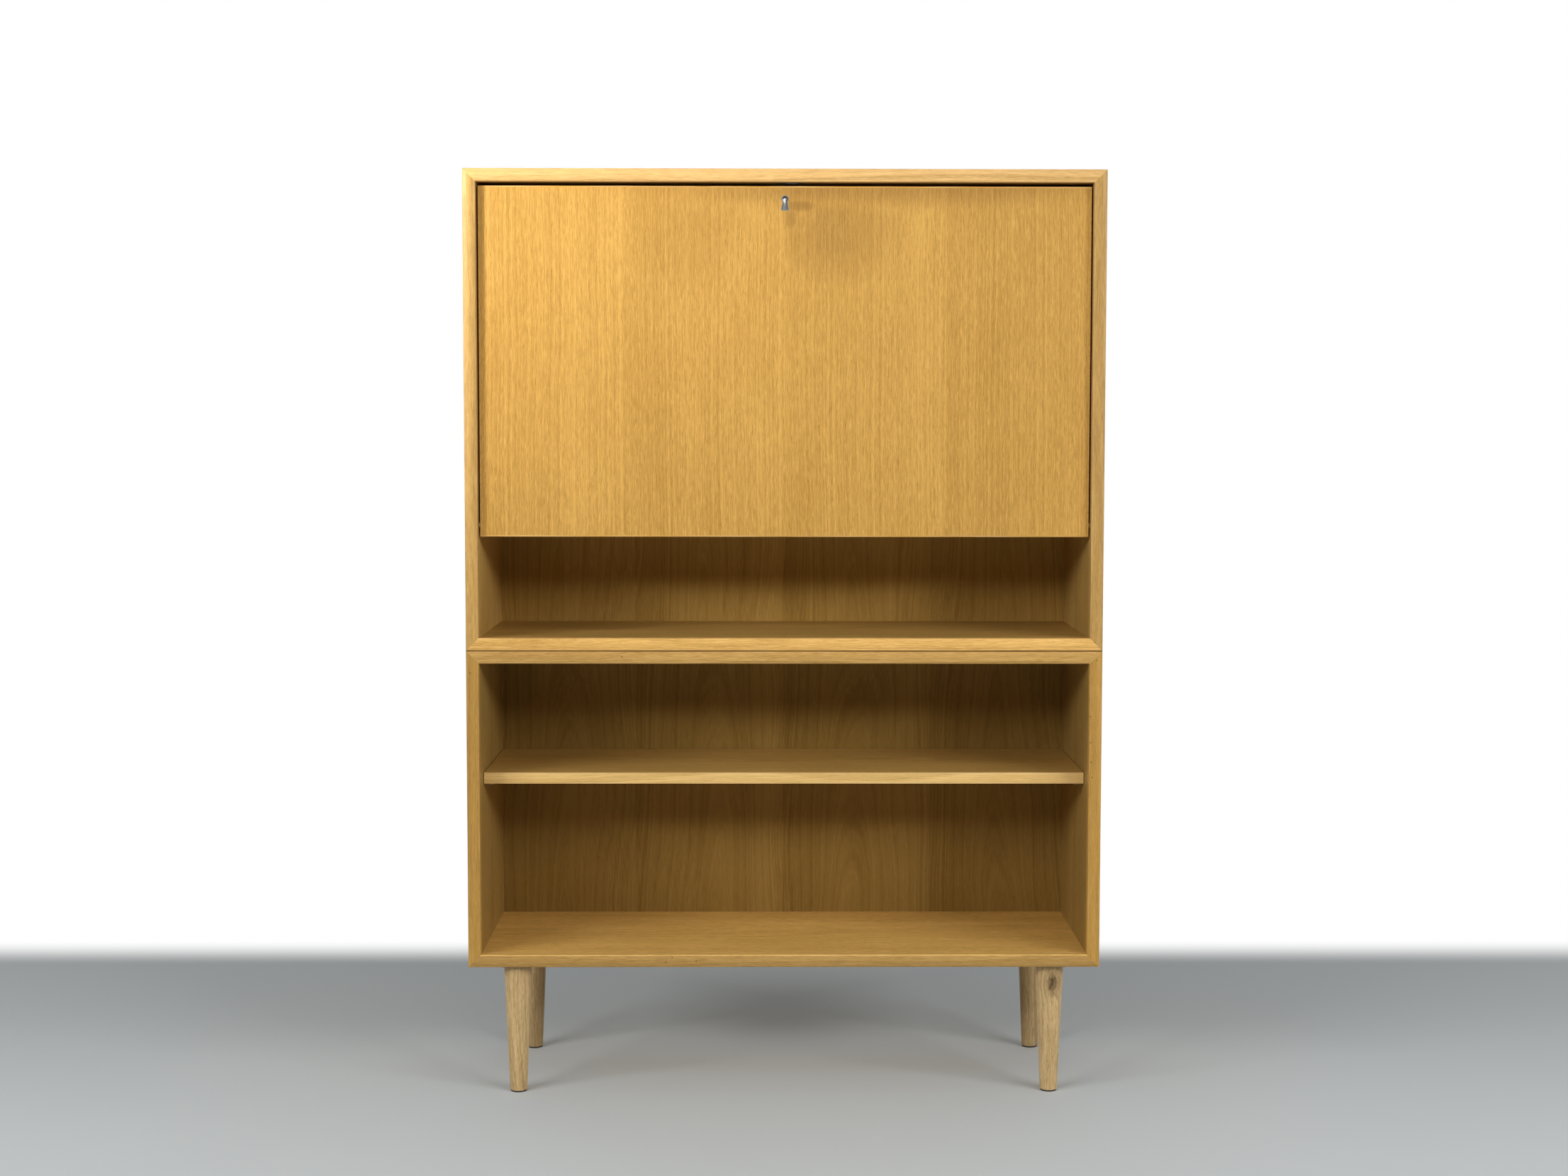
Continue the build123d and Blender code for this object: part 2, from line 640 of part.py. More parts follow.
with BuildPart() as keyhole_liner:
    with BuildSketch(Plane(origin=(0, LOCK_FRONT, KEY_Z), x_dir=(1, 0, 0), z_dir=(0, -1, 0))):
        add(keyhole.sketch)
    extrude(amount=LOCK_FRONT - FLAP_FRONT)
    with BuildSketch(Plane(origin=(0, LOCK_FRONT, KEY_Z), x_dir=(1, 0, 0), z_dir=(0, -1, 0))):
        add(keyhole.sketch)
        rim = KEY_RIM + (LOCK_FRONT - FLAP_FRONT) * math.tan(math.radians(KEY_TAPER))
        offset(amount=-rim)
    extrude(amount=LOCK_FRONT - FLAP_FRONT, taper=-KEY_TAPER, mode=Mode.SUBTRACT)
keep(keyhole_liner, "keyhole_liner")

with BuildPart() as lock_block:
    with Locations((0, LOCK_MIDDLE, FLAP_TOP - LOCK_HEIGHT / 2)):
        Box(LOCK_WIDTH, LOCK_DEPTH, LOCK_HEIGHT)
    with Locations((0, FLAP_INNER - LOCK_WALL / 2, FLAP_TOP - LOCK_HEIGHT / 2)):
        Box(LOCK_PLATE, LOCK_WALL, LOCK_HEIGHT)

with BuildPart() as lock_case:
    add(lock_block.part)
    with Locations((0, LOCK_MIDDLE, FLAP_TOP - LOCK_HEIGHT / 2)):
        Box(
            LOCK_WIDTH - 2 * LOCK_WALL,
            LOCK_DEPTH - 2 * LOCK_WALL,
            LOCK_HEIGHT - 2 * LOCK_WALL,
            mode=Mode.SUBTRACT,
        )
    with Locations((BOLT_OFFSET, LOCK_MIDDLE, FLAP_TOP)):
        Box(BOLT_WIDTH + 2 * BOLT_PLAY, BOLT_THICK + 2 * BOLT_PLAY, 4 * LOCK_WALL, mode=Mode.SUBTRACT)
    add(keyhole_through(-KEY_RIM), mode=Mode.SUBTRACT)
    with BuildSketch(front_plane(FLAP_INNER)):
        with Locations((0, KEY_Z)):
            Circle(DRILL_PIN_DIAMETER / 2)
    extrude(amount=LOCK_DEPTH)
    with Locations(*lock_screws()):
        CounterSinkHole(PILOT, SINK, SCREW_LENGTH)
keep(lock_case, "lock_case")

with BuildPart() as lock_bolt:
    with Locations((BOLT_OFFSET, LOCK_MIDDLE, BOLT_TOP - BOLT_LENGTH / 2)):
        Box(BOLT_WIDTH, BOLT_THICK, BOLT_LENGTH)
    with BuildSketch(front_plane(LOCK_MIDDLE)):
        with Locations((BOLT_OFFSET - BOLT_WIDTH / 2, KEY_Z - TALON_DROP)):
            Circle(TALON_RADIUS)
    extrude(amount=BOLT_THICK, both=True, mode=Mode.SUBTRACT)
keep(lock_bolt, "lock_bolt")

with BuildPart() as strike_plate:
    with Locations((BOLT_OFFSET, LOCK_MIDDLE, CEILING + STRIKE_THICK / 2)):
        Box(STRIKE_WIDTH, STRIKE_DEPTH, STRIKE_THICK)
        Box(BOLT_WIDTH + 2 * STRIKE_PLAY, BOLT_THICK + 2 * STRIKE_PLAY, STRIKE_THICK, mode=Mode.SUBTRACT)
    with Locations(*strike_screws()):
        CounterSinkHole(PILOT, SINK, SCREW_LENGTH)
keep(strike_plate, "strike_plate")

# Flap, with its pockets for the lock and the hinge leaves
with BuildPart() as flap_pockets:
    add(lock_block.part)
    add(keyhole_through(KEY_PLAY))
    for _, hand in HANDS:
        with BuildSketch(Plane.YZ.offset(hand * FLAP_HALF)):
            with Locations((PIVOT_Y, LEAF_MIDDLE)):
                SlotOverall(LEAF_LENGTH, LEAF_WIDTH, rotation=90)
        extrude(amount=-hand * LEAF_THICK)

with BuildPart() as flap_panel:
    with Locations((0, (FLAP_FRONT + FLAP_INNER) / 2, (FLAP_BOTTOM + FLAP_TOP) / 2)):
        Box(2 * (FLAP_HALF - FLAP_STRIP), FLAP_THICK, FLAP_HEIGHT - 2 * FLAP_STRIP)
    add(flap_pockets.part, mode=Mode.SUBTRACT)
    with Locations(*FLAP_FITTING_SCREWS):
        Hole(PILOT, SCREW_LENGTH)
keep(flap_panel, "flap_panel")

with BuildPart() as flap_strips:
    with Locations((0, (FLAP_FRONT + FLAP_INNER) / 2, (FLAP_BOTTOM + FLAP_TOP) / 2)):
        Box(2 * FLAP_HALF, FLAP_THICK, FLAP_HEIGHT)
        chamfer(flap_strips.edges().group_by(Axis.Y)[0], FLAP_ARRIS)
        Box(
            2 * (FLAP_HALF - FLAP_STRIP),
            FLAP_THICK,
            FLAP_HEIGHT - 2 * FLAP_STRIP,
            mode=Mode.SUBTRACT,
        )
    add(flap_pockets.part, mode=Mode.SUBTRACT)
    for joint in (FLAP_BOTTOM + FLAP_STRIP, FLAP_TOP - FLAP_STRIP):
        split(bisect_by=Plane.XY.offset(joint), keep=Keep.BOTH)
keep(flap_strips, "flap_edge_strips")

# Pivot hinges and stays
for side, hand in HANDS:
    with BuildPart() as hinge_plate:
        with BuildSketch(Plane.YZ.offset(hand * INNER_HALF)):
            with Locations((PIVOT_Y, LEAF_MIDDLE)):
                SlotOverall(LEAF_LENGTH, LEAF_WIDTH, rotation=90)
        extrude(amount=hand * LEAF_THICK)
        with Locations(*side_leaf_screws(hand)):
            CounterSinkHole(PILOT, SINK, SCREW_LENGTH)
        with BuildSketch(Plane.YZ.offset(hand * INNER_HALF)):
            with Locations((PIVOT_Y, PIVOT_Z)):
                Circle(PIN_DIAMETER / 2 + SHOULDER_WALL)
        extrude(amount=-hand * (FLAP_SIDE_GAP - HINGE_SLACK))
        with BuildSketch(Plane.YZ.offset(hand * INNER_HALF)):
            with Locations((PIVOT_Y, PIVOT_Z)):
                Circle(PIN_DIAMETER / 2)
        extrude(amount=-hand * (FLAP_SIDE_GAP + LEAF_THICK - HINGE_SLACK))
    keep(hinge_plate, f"hinge_plate_{side}")

    with BuildPart() as hinge_leaf:
        with BuildSketch(Plane.YZ.offset(hand * FLAP_HALF)):
            with Locations((PIVOT_Y, LEAF_MIDDLE)):
                SlotOverall(LEAF_LENGTH, LEAF_WIDTH, rotation=90)
            with Locations((PIVOT_Y, PIVOT_Z)):
                Circle(PIN_DIAMETER / 2 + PIN_PLAY, mode=Mode.SUBTRACT)
        extrude(amount=-hand * LEAF_THICK)
        with Locations(*flap_leaf_screws(hand)):
            CounterSinkHole(PILOT, SINK, SCREW_LENGTH)
    keep(hinge_leaf, f"hinge_leaf_{side}")

    with BuildPart() as stay_base:
        with BuildSketch(Plane.YZ.offset(hand * INNER_HALF)):
            with Locations((GUIDE_Y, GUIDE_Z)):
                SlotOverall(BASE_LENGTH, BASE_WIDTH, rotation=90)
        extrude(amount=-hand * BASE_THICK)
        with Locations(*stay_base_screws(hand)):
            CounterSinkHole(PILOT, SINK, SCREW_LENGTH)
        with BuildSketch(Plane.YZ.offset(hand * (INNER_HALF - BASE_THICK))):
            with Locations((GUIDE_Y, GUIDE_Z)):
                Circle(STUD_DIAMETER / 2)
        extrude(amount=-hand * (BASE_GAP + STUD_GRIP))
    keep(stay_base, f"stay_base_{side}")

    with BuildPart() as stay_guide:
        with BuildSketch(Plane.YZ.offset(hand * (ROD_X - GUIDE_INNER))):
            with Locations((GUIDE_Y, GUIDE_Z)):
                Circle(GUIDE_DIAMETER / 2)
        extrude(amount=hand * (GUIDE_INNER + GUIDE_OUTER))
        fillet(stay_guide.edges(), GUIDE_ROUND)
        with BuildSketch(Plane.YZ.offset(hand * (ROD_X + GUIDE_OUTER))):
            with Locations((GUIDE_Y, GUIDE_Z)):
                Circle(STUD_DIAMETER / 2 + PIN_PLAY)
        extrude(amount=-hand * (STUD_GRIP + STUD_END_GAP), mode=Mode.SUBTRACT)
        bore_middle = (hand * ROD_X, GUIDE_Y, GUIDE_Z)
        with BuildSketch(Plane(origin=bore_middle, x_dir=(1, 0, 0), z_dir=ROD_DIRECTION)):
            Circle(ROD_DIAMETER / 2 + ROD_PLAY)
        extrude(amount=GUIDE_DIAMETER, both=True, mode=Mode.SUBTRACT)
    keep(stay_guide, f"stay_guide_{side}")

    with BuildPart() as stay_rod:
        rod_start = Plane(origin=(hand * ROD_X, EYE_Y, EYE_Z), x_dir=(1, 0, 0), z_dir=ROD_DIRECTION)
        with BuildSketch(rod_start):
            Circle(ROD_DIAMETER / 2)
        extrude(amount=ROD_LENGTH)
        with BuildSketch(rod_start.offset(ROD_LENGTH)):
            Circle(COLLAR_DIAMETER / 2)
        extrude(amount=COLLAR_THICK)
        with BuildSketch(Plane.YZ.offset(hand * ROD_X)):
            with Locations((EYE_Y, EYE_Z)):
                Circle(EYE_DIAMETER / 2)
        extrude(amount=EYE_THICK / 2, both=True)
        with BuildSketch(Plane.YZ.offset(hand * ROD_X)):
            with Locations((EYE_Y, EYE_Z)):
                Circle(EYE_PIN_DIAMETER / 2 + PIN_PLAY)
        extrude(amount=EYE_THICK, both=True, mode=Mode.SUBTRACT)
    keep(stay_rod, f"stay_rod_{side}")

    with BuildPart() as stay_bracket:
        with BuildSketch(front_plane(FLAP_INNER)):
            with Locations((hand * (ROD_X - EAR_FACE - BRACKET_WIDTH / 2), EYE_Z)):
                RectangleRounded(BRACKET_WIDTH, BRACKET_HEIGHT, BRACKET_ROUND)
        extrude(amount=-BRACKET_THICK)
        with Locations(*bracket_screws(hand)):
            CounterSinkHole(PILOT, SINK, SCREW_LENGTH)
        with BuildSketch(Plane.YZ.offset(hand * (ROD_X - EAR_FACE))):
            ear_run = EYE_Y - FLAP_INNER
            with Locations((EYE_Y - ear_run / 2, EYE_Z)):
                Rectangle(ear_run, EYE_DIAMETER)
            with Locations((EYE_Y, EYE_Z)):
                Circle(EYE_DIAMETER / 2)
        extrude(amount=-hand * EAR_THICK)
        with BuildSketch(Plane.YZ.offset(hand * (ROD_X - EAR_FACE))):
            with Locations((EYE_Y, EYE_Z)):
                Circle(EYE_PIN_DIAMETER / 2)
        extrude(amount=hand * 2 * EAR_FACE)
        with BuildSketch(Plane.YZ.offset(hand * (ROD_X + EAR_FACE))):
            with Locations((EYE_Y, EYE_Z)):
                Circle(RIVET_DIAMETER / 2)
        extrude(amount=hand * RIVET_THICK)
    keep(stay_bracket, f"stay_bracket_{side}")

with BuildPart() as carcass_fitting_screws:
    with Locations(*CARCASS_FITTING_SCREWS):
        add(screw(SCREW_DIAMETER, SCREW_HEAD, SCREW_LENGTH))
keep(carcass_fitting_screws, "carcass_fitting_screws")

with BuildPart() as flap_fitting_screws:
    with Locations(*FLAP_FITTING_SCREWS):
        add(screw(SCREW_DIAMETER, SCREW_HEAD, SCREW_LENGTH))
keep(flap_fitting_screws, "flap_fitting_screws")

# Loose shelf and the pegs under it
with BuildPart() as shelf_board:
    shelf_run = SHELF_REAR - SHELF_FRONT - SHELF_LIP
    with Locations((0, SHELF_REAR - shelf_run / 2, SHELF_UNDER + SHELF_THICK / 2)):
        Box(2 * SHELF_HALF, shelf_run, SHELF_THICK)
keep(shelf_board, "shelf_board")

with BuildPart() as shelf_strip:
    with Locations((0, SHELF_FRONT + SHELF_LIP / 2, SHELF_UNDER + SHELF_THICK / 2)):
        Box(2 * SHELF_HALF, SHELF_LIP, SHELF_THICK)
    fillet(shelf_strip.edges().filter_by(Axis.X).group_by(Axis.Y)[0], SHELF_ROUND)
keep(shelf_strip, "shelf_front_strip")

with BuildPart() as shelf_pegs:
    for _, hand in HANDS:
        for y in PEG_ROWS:
            with BuildSketch(Plane.YZ.offset(hand * INNER_HALF)):
                with Locations((y, PEG_Z)):
                    Circle(PEG_DIAMETER / 2)
            extrude(amount=hand * PEG_DEPTH)
            with BuildSketch(Plane.YZ.offset(hand * INNER_HALF)):
                with Locations((y, PEG_Z)):
                    Circle(PEG_HEAD / 2)
                with Locations((y, SHELF_UNDER + PEG_HEAD / 2)):
                    Rectangle(PEG_HEAD, PEG_HEAD, mode=Mode.SUBTRACT)
            extrude(amount=-hand * PEG_REACH)
keep(shelf_pegs, "shelf_pegs")

# Legs
for name, (x, y) in zip(LEG_NAMES, LEG_CENTRES):
    with BuildPart() as leg:
        with BuildSketch(Plane.XZ.offset(-y)):
            with BuildLine():
                Polyline(
                    (x, GLIDE_THICK),
                    (x + LEG_FOOT / 2, GLIDE_THICK),
                    (x + LEG_TOP / 2, LEG_SHOULDER),
                    (x, LEG_SHOULDER),
                    close=True,
                )
            make_face()
        revolve(axis=Axis((x, y, 0), (0, 0, 1)))
        rims = leg.edges().filter_by(GeomType.CIRCLE)
        fillet(rims, LEG_ARRIS)
        with Locations(facing(x, y, LEG_SHOULDER, (0, 0, 1))):
            Hole(LEG_STUD_DIAMETER / 2 + LEG_STUD_PLAY, LEG_STUD_IN_LEG)
        with Locations(facing(x, y, GLIDE_THICK, (0, 0, -1))):
            Hole(GLIDE_NAIL / 2 + LEG_STUD_PLAY, GLIDE_NAIL_LENGTH)
    keep(leg, f"leg_{name}")

with BuildPart() as leg_studs:
    with Locations(*[(x, y) for x, y in LEG_CENTRES]):
        with Locations((0, 0, LEG_SHOULDER - LEG_STUD_IN_LEG)):
            Cylinder(
                LEG_STUD_DIAMETER / 2,
                LEG_STUD_IN_LEG + LEG_PLATE_THICK + LEG_STUD_IN_BOARD,
                align=(Align.CENTER, Align.CENTER, Align.MIN),
            )
keep(leg_studs, "leg_studs")

with BuildPart() as leg_plates:
    with BuildSketch(Plane.XY.offset(LEG_SHOULDER)):
        with Locations(*LEG_CENTRES):
            RectangleRounded(LEG_PLATE, LEG_PLATE, LEG_PLATE_ROUND)
    extrude(amount=LEG_PLATE_THICK)
    with BuildSketch(Plane.XY.offset(LEG_HEIGHT)):
        with Locations(*LEG_CENTRES):
            Circle(LEG_BOSS_DIAMETER / 2)
    extrude(amount=LEG_BOSS_HEIGHT)
    with Locations(*[facing(x, y, LEG_SHOULDER, (0, 0, -1)) for x, y in LEG_CENTRES]):
        Hole(LEG_STUD_DIAMETER / 2 + LEG_STUD_PLAY, LEG_PLATE_THICK + LEG_BOSS_HEIGHT)
    with Locations(*LEG_SCREWS):
        CounterSinkHole(PILOT, SINK, SCREW_LENGTH)
keep(leg_plates, "leg_plates")

with BuildPart() as leg_plate_screw_set:
    with Locations(*LEG_SCREWS):
        add(screw(SCREW_DIAMETER, SCREW_HEAD, SCREW_LENGTH))
keep(leg_plate_screw_set, "leg_plate_screws")

with BuildPart() as leg_glides:
    with BuildSketch(Plane.XY):
        with Locations(*LEG_CENTRES):
            Circle(GLIDE_DIAMETER / 2)
    extrude(amount=GLIDE_THICK)
    with BuildSketch(Plane.XY.offset(GLIDE_THICK)):
        with Locations(*LEG_CENTRES):
            Circle(GLIDE_NAIL / 2)
    extrude(amount=GLIDE_NAIL_LENGTH)
keep(leg_glides, "leg_glides")
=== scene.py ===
"""Looks of an oak secretary desk: grain and finish of every board, metal fittings, screws, studio."""

import json
import math
from itertools import product
from typing import NamedTuple

import bmesh
import bpy
from bpy.props import FloatProperty, FloatVectorProperty, PointerProperty
from mathutils import Matrix, Vector

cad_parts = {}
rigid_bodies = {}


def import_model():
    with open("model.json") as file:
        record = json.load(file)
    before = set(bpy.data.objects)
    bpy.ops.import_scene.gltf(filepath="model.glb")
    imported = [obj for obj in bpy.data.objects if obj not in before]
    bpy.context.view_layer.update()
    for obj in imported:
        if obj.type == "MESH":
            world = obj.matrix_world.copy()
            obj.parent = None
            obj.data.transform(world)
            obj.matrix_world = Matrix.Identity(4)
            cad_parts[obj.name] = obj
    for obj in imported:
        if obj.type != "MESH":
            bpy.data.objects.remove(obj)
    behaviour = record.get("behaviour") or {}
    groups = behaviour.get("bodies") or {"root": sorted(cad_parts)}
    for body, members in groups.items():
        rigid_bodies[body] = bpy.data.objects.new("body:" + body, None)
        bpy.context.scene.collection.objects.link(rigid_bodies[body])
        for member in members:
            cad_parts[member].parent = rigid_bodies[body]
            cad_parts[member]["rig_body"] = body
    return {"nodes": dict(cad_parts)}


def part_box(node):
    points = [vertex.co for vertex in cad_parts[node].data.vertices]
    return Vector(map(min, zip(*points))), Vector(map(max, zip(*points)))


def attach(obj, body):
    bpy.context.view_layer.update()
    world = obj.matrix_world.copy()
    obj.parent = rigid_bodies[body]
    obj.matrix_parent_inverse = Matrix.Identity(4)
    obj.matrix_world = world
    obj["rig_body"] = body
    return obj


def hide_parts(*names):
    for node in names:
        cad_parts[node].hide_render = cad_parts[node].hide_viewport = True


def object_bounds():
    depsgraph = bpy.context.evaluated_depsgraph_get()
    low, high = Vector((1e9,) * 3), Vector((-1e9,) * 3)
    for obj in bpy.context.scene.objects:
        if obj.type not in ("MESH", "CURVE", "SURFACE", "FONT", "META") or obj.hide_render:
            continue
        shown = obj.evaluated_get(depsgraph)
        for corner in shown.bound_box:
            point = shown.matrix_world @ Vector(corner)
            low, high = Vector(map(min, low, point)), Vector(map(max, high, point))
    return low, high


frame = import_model()
CAD_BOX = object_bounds()

bl_info = {
    "name": "Oak secretary desk",
    "version": (1, 0, 0),
    "blender": (4, 5, 0),
    "location": "View3D > Sidebar > Desk",
    "description": "Finishes the desk's boards and fittings and sets up its studio",
    "category": "Object",
}

WHITE = (1.0, 1.0, 1.0)
AXES = {"X": Vector((1, 0, 0)), "Y": Vector((0, 1, 0)), "Z": Vector((0, 0, 1))}


# Settings that a user would change
def colour_setting(name, description, default):
    """A linear colour with its words."""
    return FloatVectorProperty(
        name=name,
        description=description,
        default=default,
        size=3,
        min=0.0,
        max=1.0,
        subtype="COLOR",
    )


def length_setting(name, description, default):
    """A length in metres with its words."""
    return FloatProperty(name=name, description=description, default=default, min=0.0, unit="LENGTH")


def place_setting(name, description, default):
    """A place in metres with its words."""
    return FloatVectorProperty(
        name=name,
        description=description,
        default=default,
        size=3,
        subtype="XYZ",
        unit="LENGTH",
    )


def angle_setting(name, description, default):
    """An angle, written in degrees, with its words."""
    return FloatProperty(name=name, description=description, default=math.radians(default), unit="ROTATION")


def power_setting(name, description, default):
    """A lamp's power in watts with its words."""
    return FloatProperty(name=name, description=description, default=default, min=0.0, unit="POWER")


def share_setting(name, description, default):
    """A share of a whole with its words."""
    return FloatProperty(
        name=name,
        description=description,
        default=default,
        min=0.0,
        max=1.0,
        subtype="FACTOR",
    )


def amount_setting(name, description, default):
    """A plain number with its words."""
    return FloatProperty(name=name, description=description, default=default, min=0.0)


class DeskOak(bpy.types.PropertyGroup):
    """Colours and scale of the oak."""

    veneer_light: colour_setting("Veneer, light", "Late wood of the oiled veneer", (0.695, 0.392, 0.092))
    veneer_dark: colour_setting("Veneer, dark", "Early wood of the oiled veneer", (0.455, 0.238, 0.043))
    inside_light: colour_setting("Inside, light", "Late wood of the boards inside", (0.62, 0.393, 0.120))
    inside_dark: colour_setting("Inside, dark", "Early wood of the boards inside", (0.36, 0.207, 0.048))
    back_light: colour_setting("Back, light", "Late wood of the back panels", (0.46, 0.276, 0.074))
    back_dark: colour_setting("Back, dark", "Early wood of the back panels", (0.26, 0.147, 0.030))
    solid_light: colour_setting("Strips, light", "Late wood of the solid strips", (0.80, 0.485, 0.150))
    solid_dark: colour_setting("Strips, dark", "Early wood of the solid strips", (0.47, 0.255, 0.060))
    bleached_light: colour_setting("Top strip, light", "Late wood, bleached", (0.90, 0.565, 0.222))
    bleached_dark: colour_setting("Top strip, dark", "Early wood, bleached", (0.56, 0.317, 0.094))
    pale_light: colour_setting("Shelf edge, light", "Late wood of the shelf's strip", (0.84, 0.56, 0.21))
    pale_dark: colour_setting("Shelf edge, dark", "Early wood of the shelf's strip", (0.56, 0.335, 0.10))
    raw_light: colour_setting("Legs, light", "Late wood of the legs and the desk's back", (0.70, 0.50, 0.25))
    raw_dark: colour_setting("Legs, dark", "Early wood of the legs and the desk's back", (0.41, 0.265, 0.110))
    pore: colour_setting("Pores", "Open pores and stains", (0.17, 0.075, 0.016))
    rubbed: colour_setting("Rubbed edges", "Edges worn pale by use", (0.92, 0.68, 0.36))
    knot: colour_setting("Knots", "Pin knots and the knot in a leg", (0.055, 0.028, 0.009))
    leaf: length_setting("Veneer leaf", "Width of one leaf of slip matched veneer", 0.227)
    side_leaf: length_setting("Side leaf", "Width of one leaf of veneer on the sides", 0.16)
    ring: length_setting("Ring width", "Typical width of a year's growth", 0.0042)
    stretch: amount_setting("Grain stretch", "Length of the grain's marks, 1 for this desk's oak", 1.0)


class DeskMetal(bpy.types.PropertyGroup):
    """Colours of the fittings and shape of the screws."""

    nickel: colour_setting("Nickel", "Keyhole liner and stays", (0.66, 0.63, 0.57))
    brass: colour_setting("Brass", "Pivot hinges", (0.66, 0.46, 0.19))
    steel: colour_setting("Steel", "Lock, strike and pegs", (0.50, 0.49, 0.47))
    black: colour_setting("Black steel", "Leg plates and studs", (0.055, 0.048, 0.042))
    screw: colour_setting("Screws", "Slotted screws", (0.42, 0.40, 0.37))
    plastic: colour_setting("Glides", "Glides under the legs", (0.028, 0.024, 0.021))
    beech: colour_setting("Beech", "Loose tongues in the corners", (0.62, 0.40, 0.22))
    slot_width: share_setting("Slot width", "Share of a screw head's diameter", 0.16)
    slot_depth: share_setting("Slot depth", "Share of a screw head's diameter", 0.17)
    shank: share_setting("Shank", "Share of a screw head's diameter", 0.53)


class DeskStage(bpy.types.PropertyGroup):
    """Camera, lamps and floor."""

    camera_place: place_setting("Camera", "Where the camera stands", (-0.0299, -3.4055, 0.9584))
    camera_yaw: angle_setting("Camera turn", "Turn of the view to the right", 0.51)
    camera_pitch: angle_setting("Camera tilt", "Tilt of the view downwards", 4.01)
    camera_roll: angle_setting("Camera roll", "Lean of the camera to its left", 0.075)
    floor: colour_setting("Floor", "Pale floor before the desk", (0.72, 0.765, 0.78))
    rear_floor_shade: share_setting("Rear floor", "How light the floor behind the desk stays", 0.79)
    shade_start: length_setting("Shade start", "Depth before the desk where the floor darkens", 0.5)
    shade_end: length_setting("Shade end", "Depth behind the desk where it is darkest", 0.45)
    fade_start: length_setting("Fade start", "Distance at which the floor starts to turn white", 1.5)
    fade_end: length_setting("Fade end", "Distance at which the floor is white", 3.2)
    rear_start: length_setting("Rear start", "Depth behind the desk where white starts", 0.66)
    rear_end: length_setting("Rear end", "Depth behind the desk where the floor is white", 0.86)
    left_place: place_setting("Left lamp", "Where the left lamp stands", (-3.4, -3.1, 1.93))
    left_power: power_setting("Left power", "Power of the left lamp", 98.0)
    right_place: place_setting("Right lamp", "Where the right lamp stands", (3.4, -3.1, 1.93))
    right_power: power_setting("Right power", "Power of the right lamp", 95.0)
    spot_place: place_setting("Spot lamp", "Where the narrow lamp stands", (-3.2, -2.2, 2.3))
    spot_power: power_setting("Spot power", "Power of the narrow lamp", 5.8)
    ceiling_place: place_setting("Ceiling lamp", "Where the ceiling lamp hangs", (0.1, -2.2, 2.95))
    ceiling_power: power_setting("Ceiling power", "Power of the ceiling lamp", 10.0)
    level_air: amount_setting("Room light, level", "Strength of the soft light from the sides", 0.02)
    upper_air: amount_setting("Room light, above", "Strength of the soft light from above", 0.33)
    rear_air: amount_setting("Room light, rear", "Strength of the soft light from behind", 0.12)


# Shader nodes
NOISE_MIDDLE = 0.5
MIX_SHARE, MIX_FIRST, MIX_SECOND, MIX_RESULT = 0, 6, 7, 2


class Socket:
    """An output in a node tree; arithmetic on it adds Math nodes."""

    def __init__(self, nodes, output):
        self.nodes = nodes
        self.output = output

    def __add__(self, other):
        return self.nodes.math("ADD", self, other)

    def __radd__(self, other):
        return self.nodes.math("ADD", other, self)

    def __sub__(self, other):
        return self.nodes.math("SUBTRACT", self, other)

    def __rsub__(self, other):
        return self.nodes.math("SUBTRACT", other, self)

    def __mul__(self, other):
        return self.nodes.math("MULTIPLY", self, other)

    def __rmul__(self, other):
        return self.nodes.math("MULTIPLY", other, self)

    def __truediv__(self, other):
        return self.nodes.math("DIVIDE", self, other)


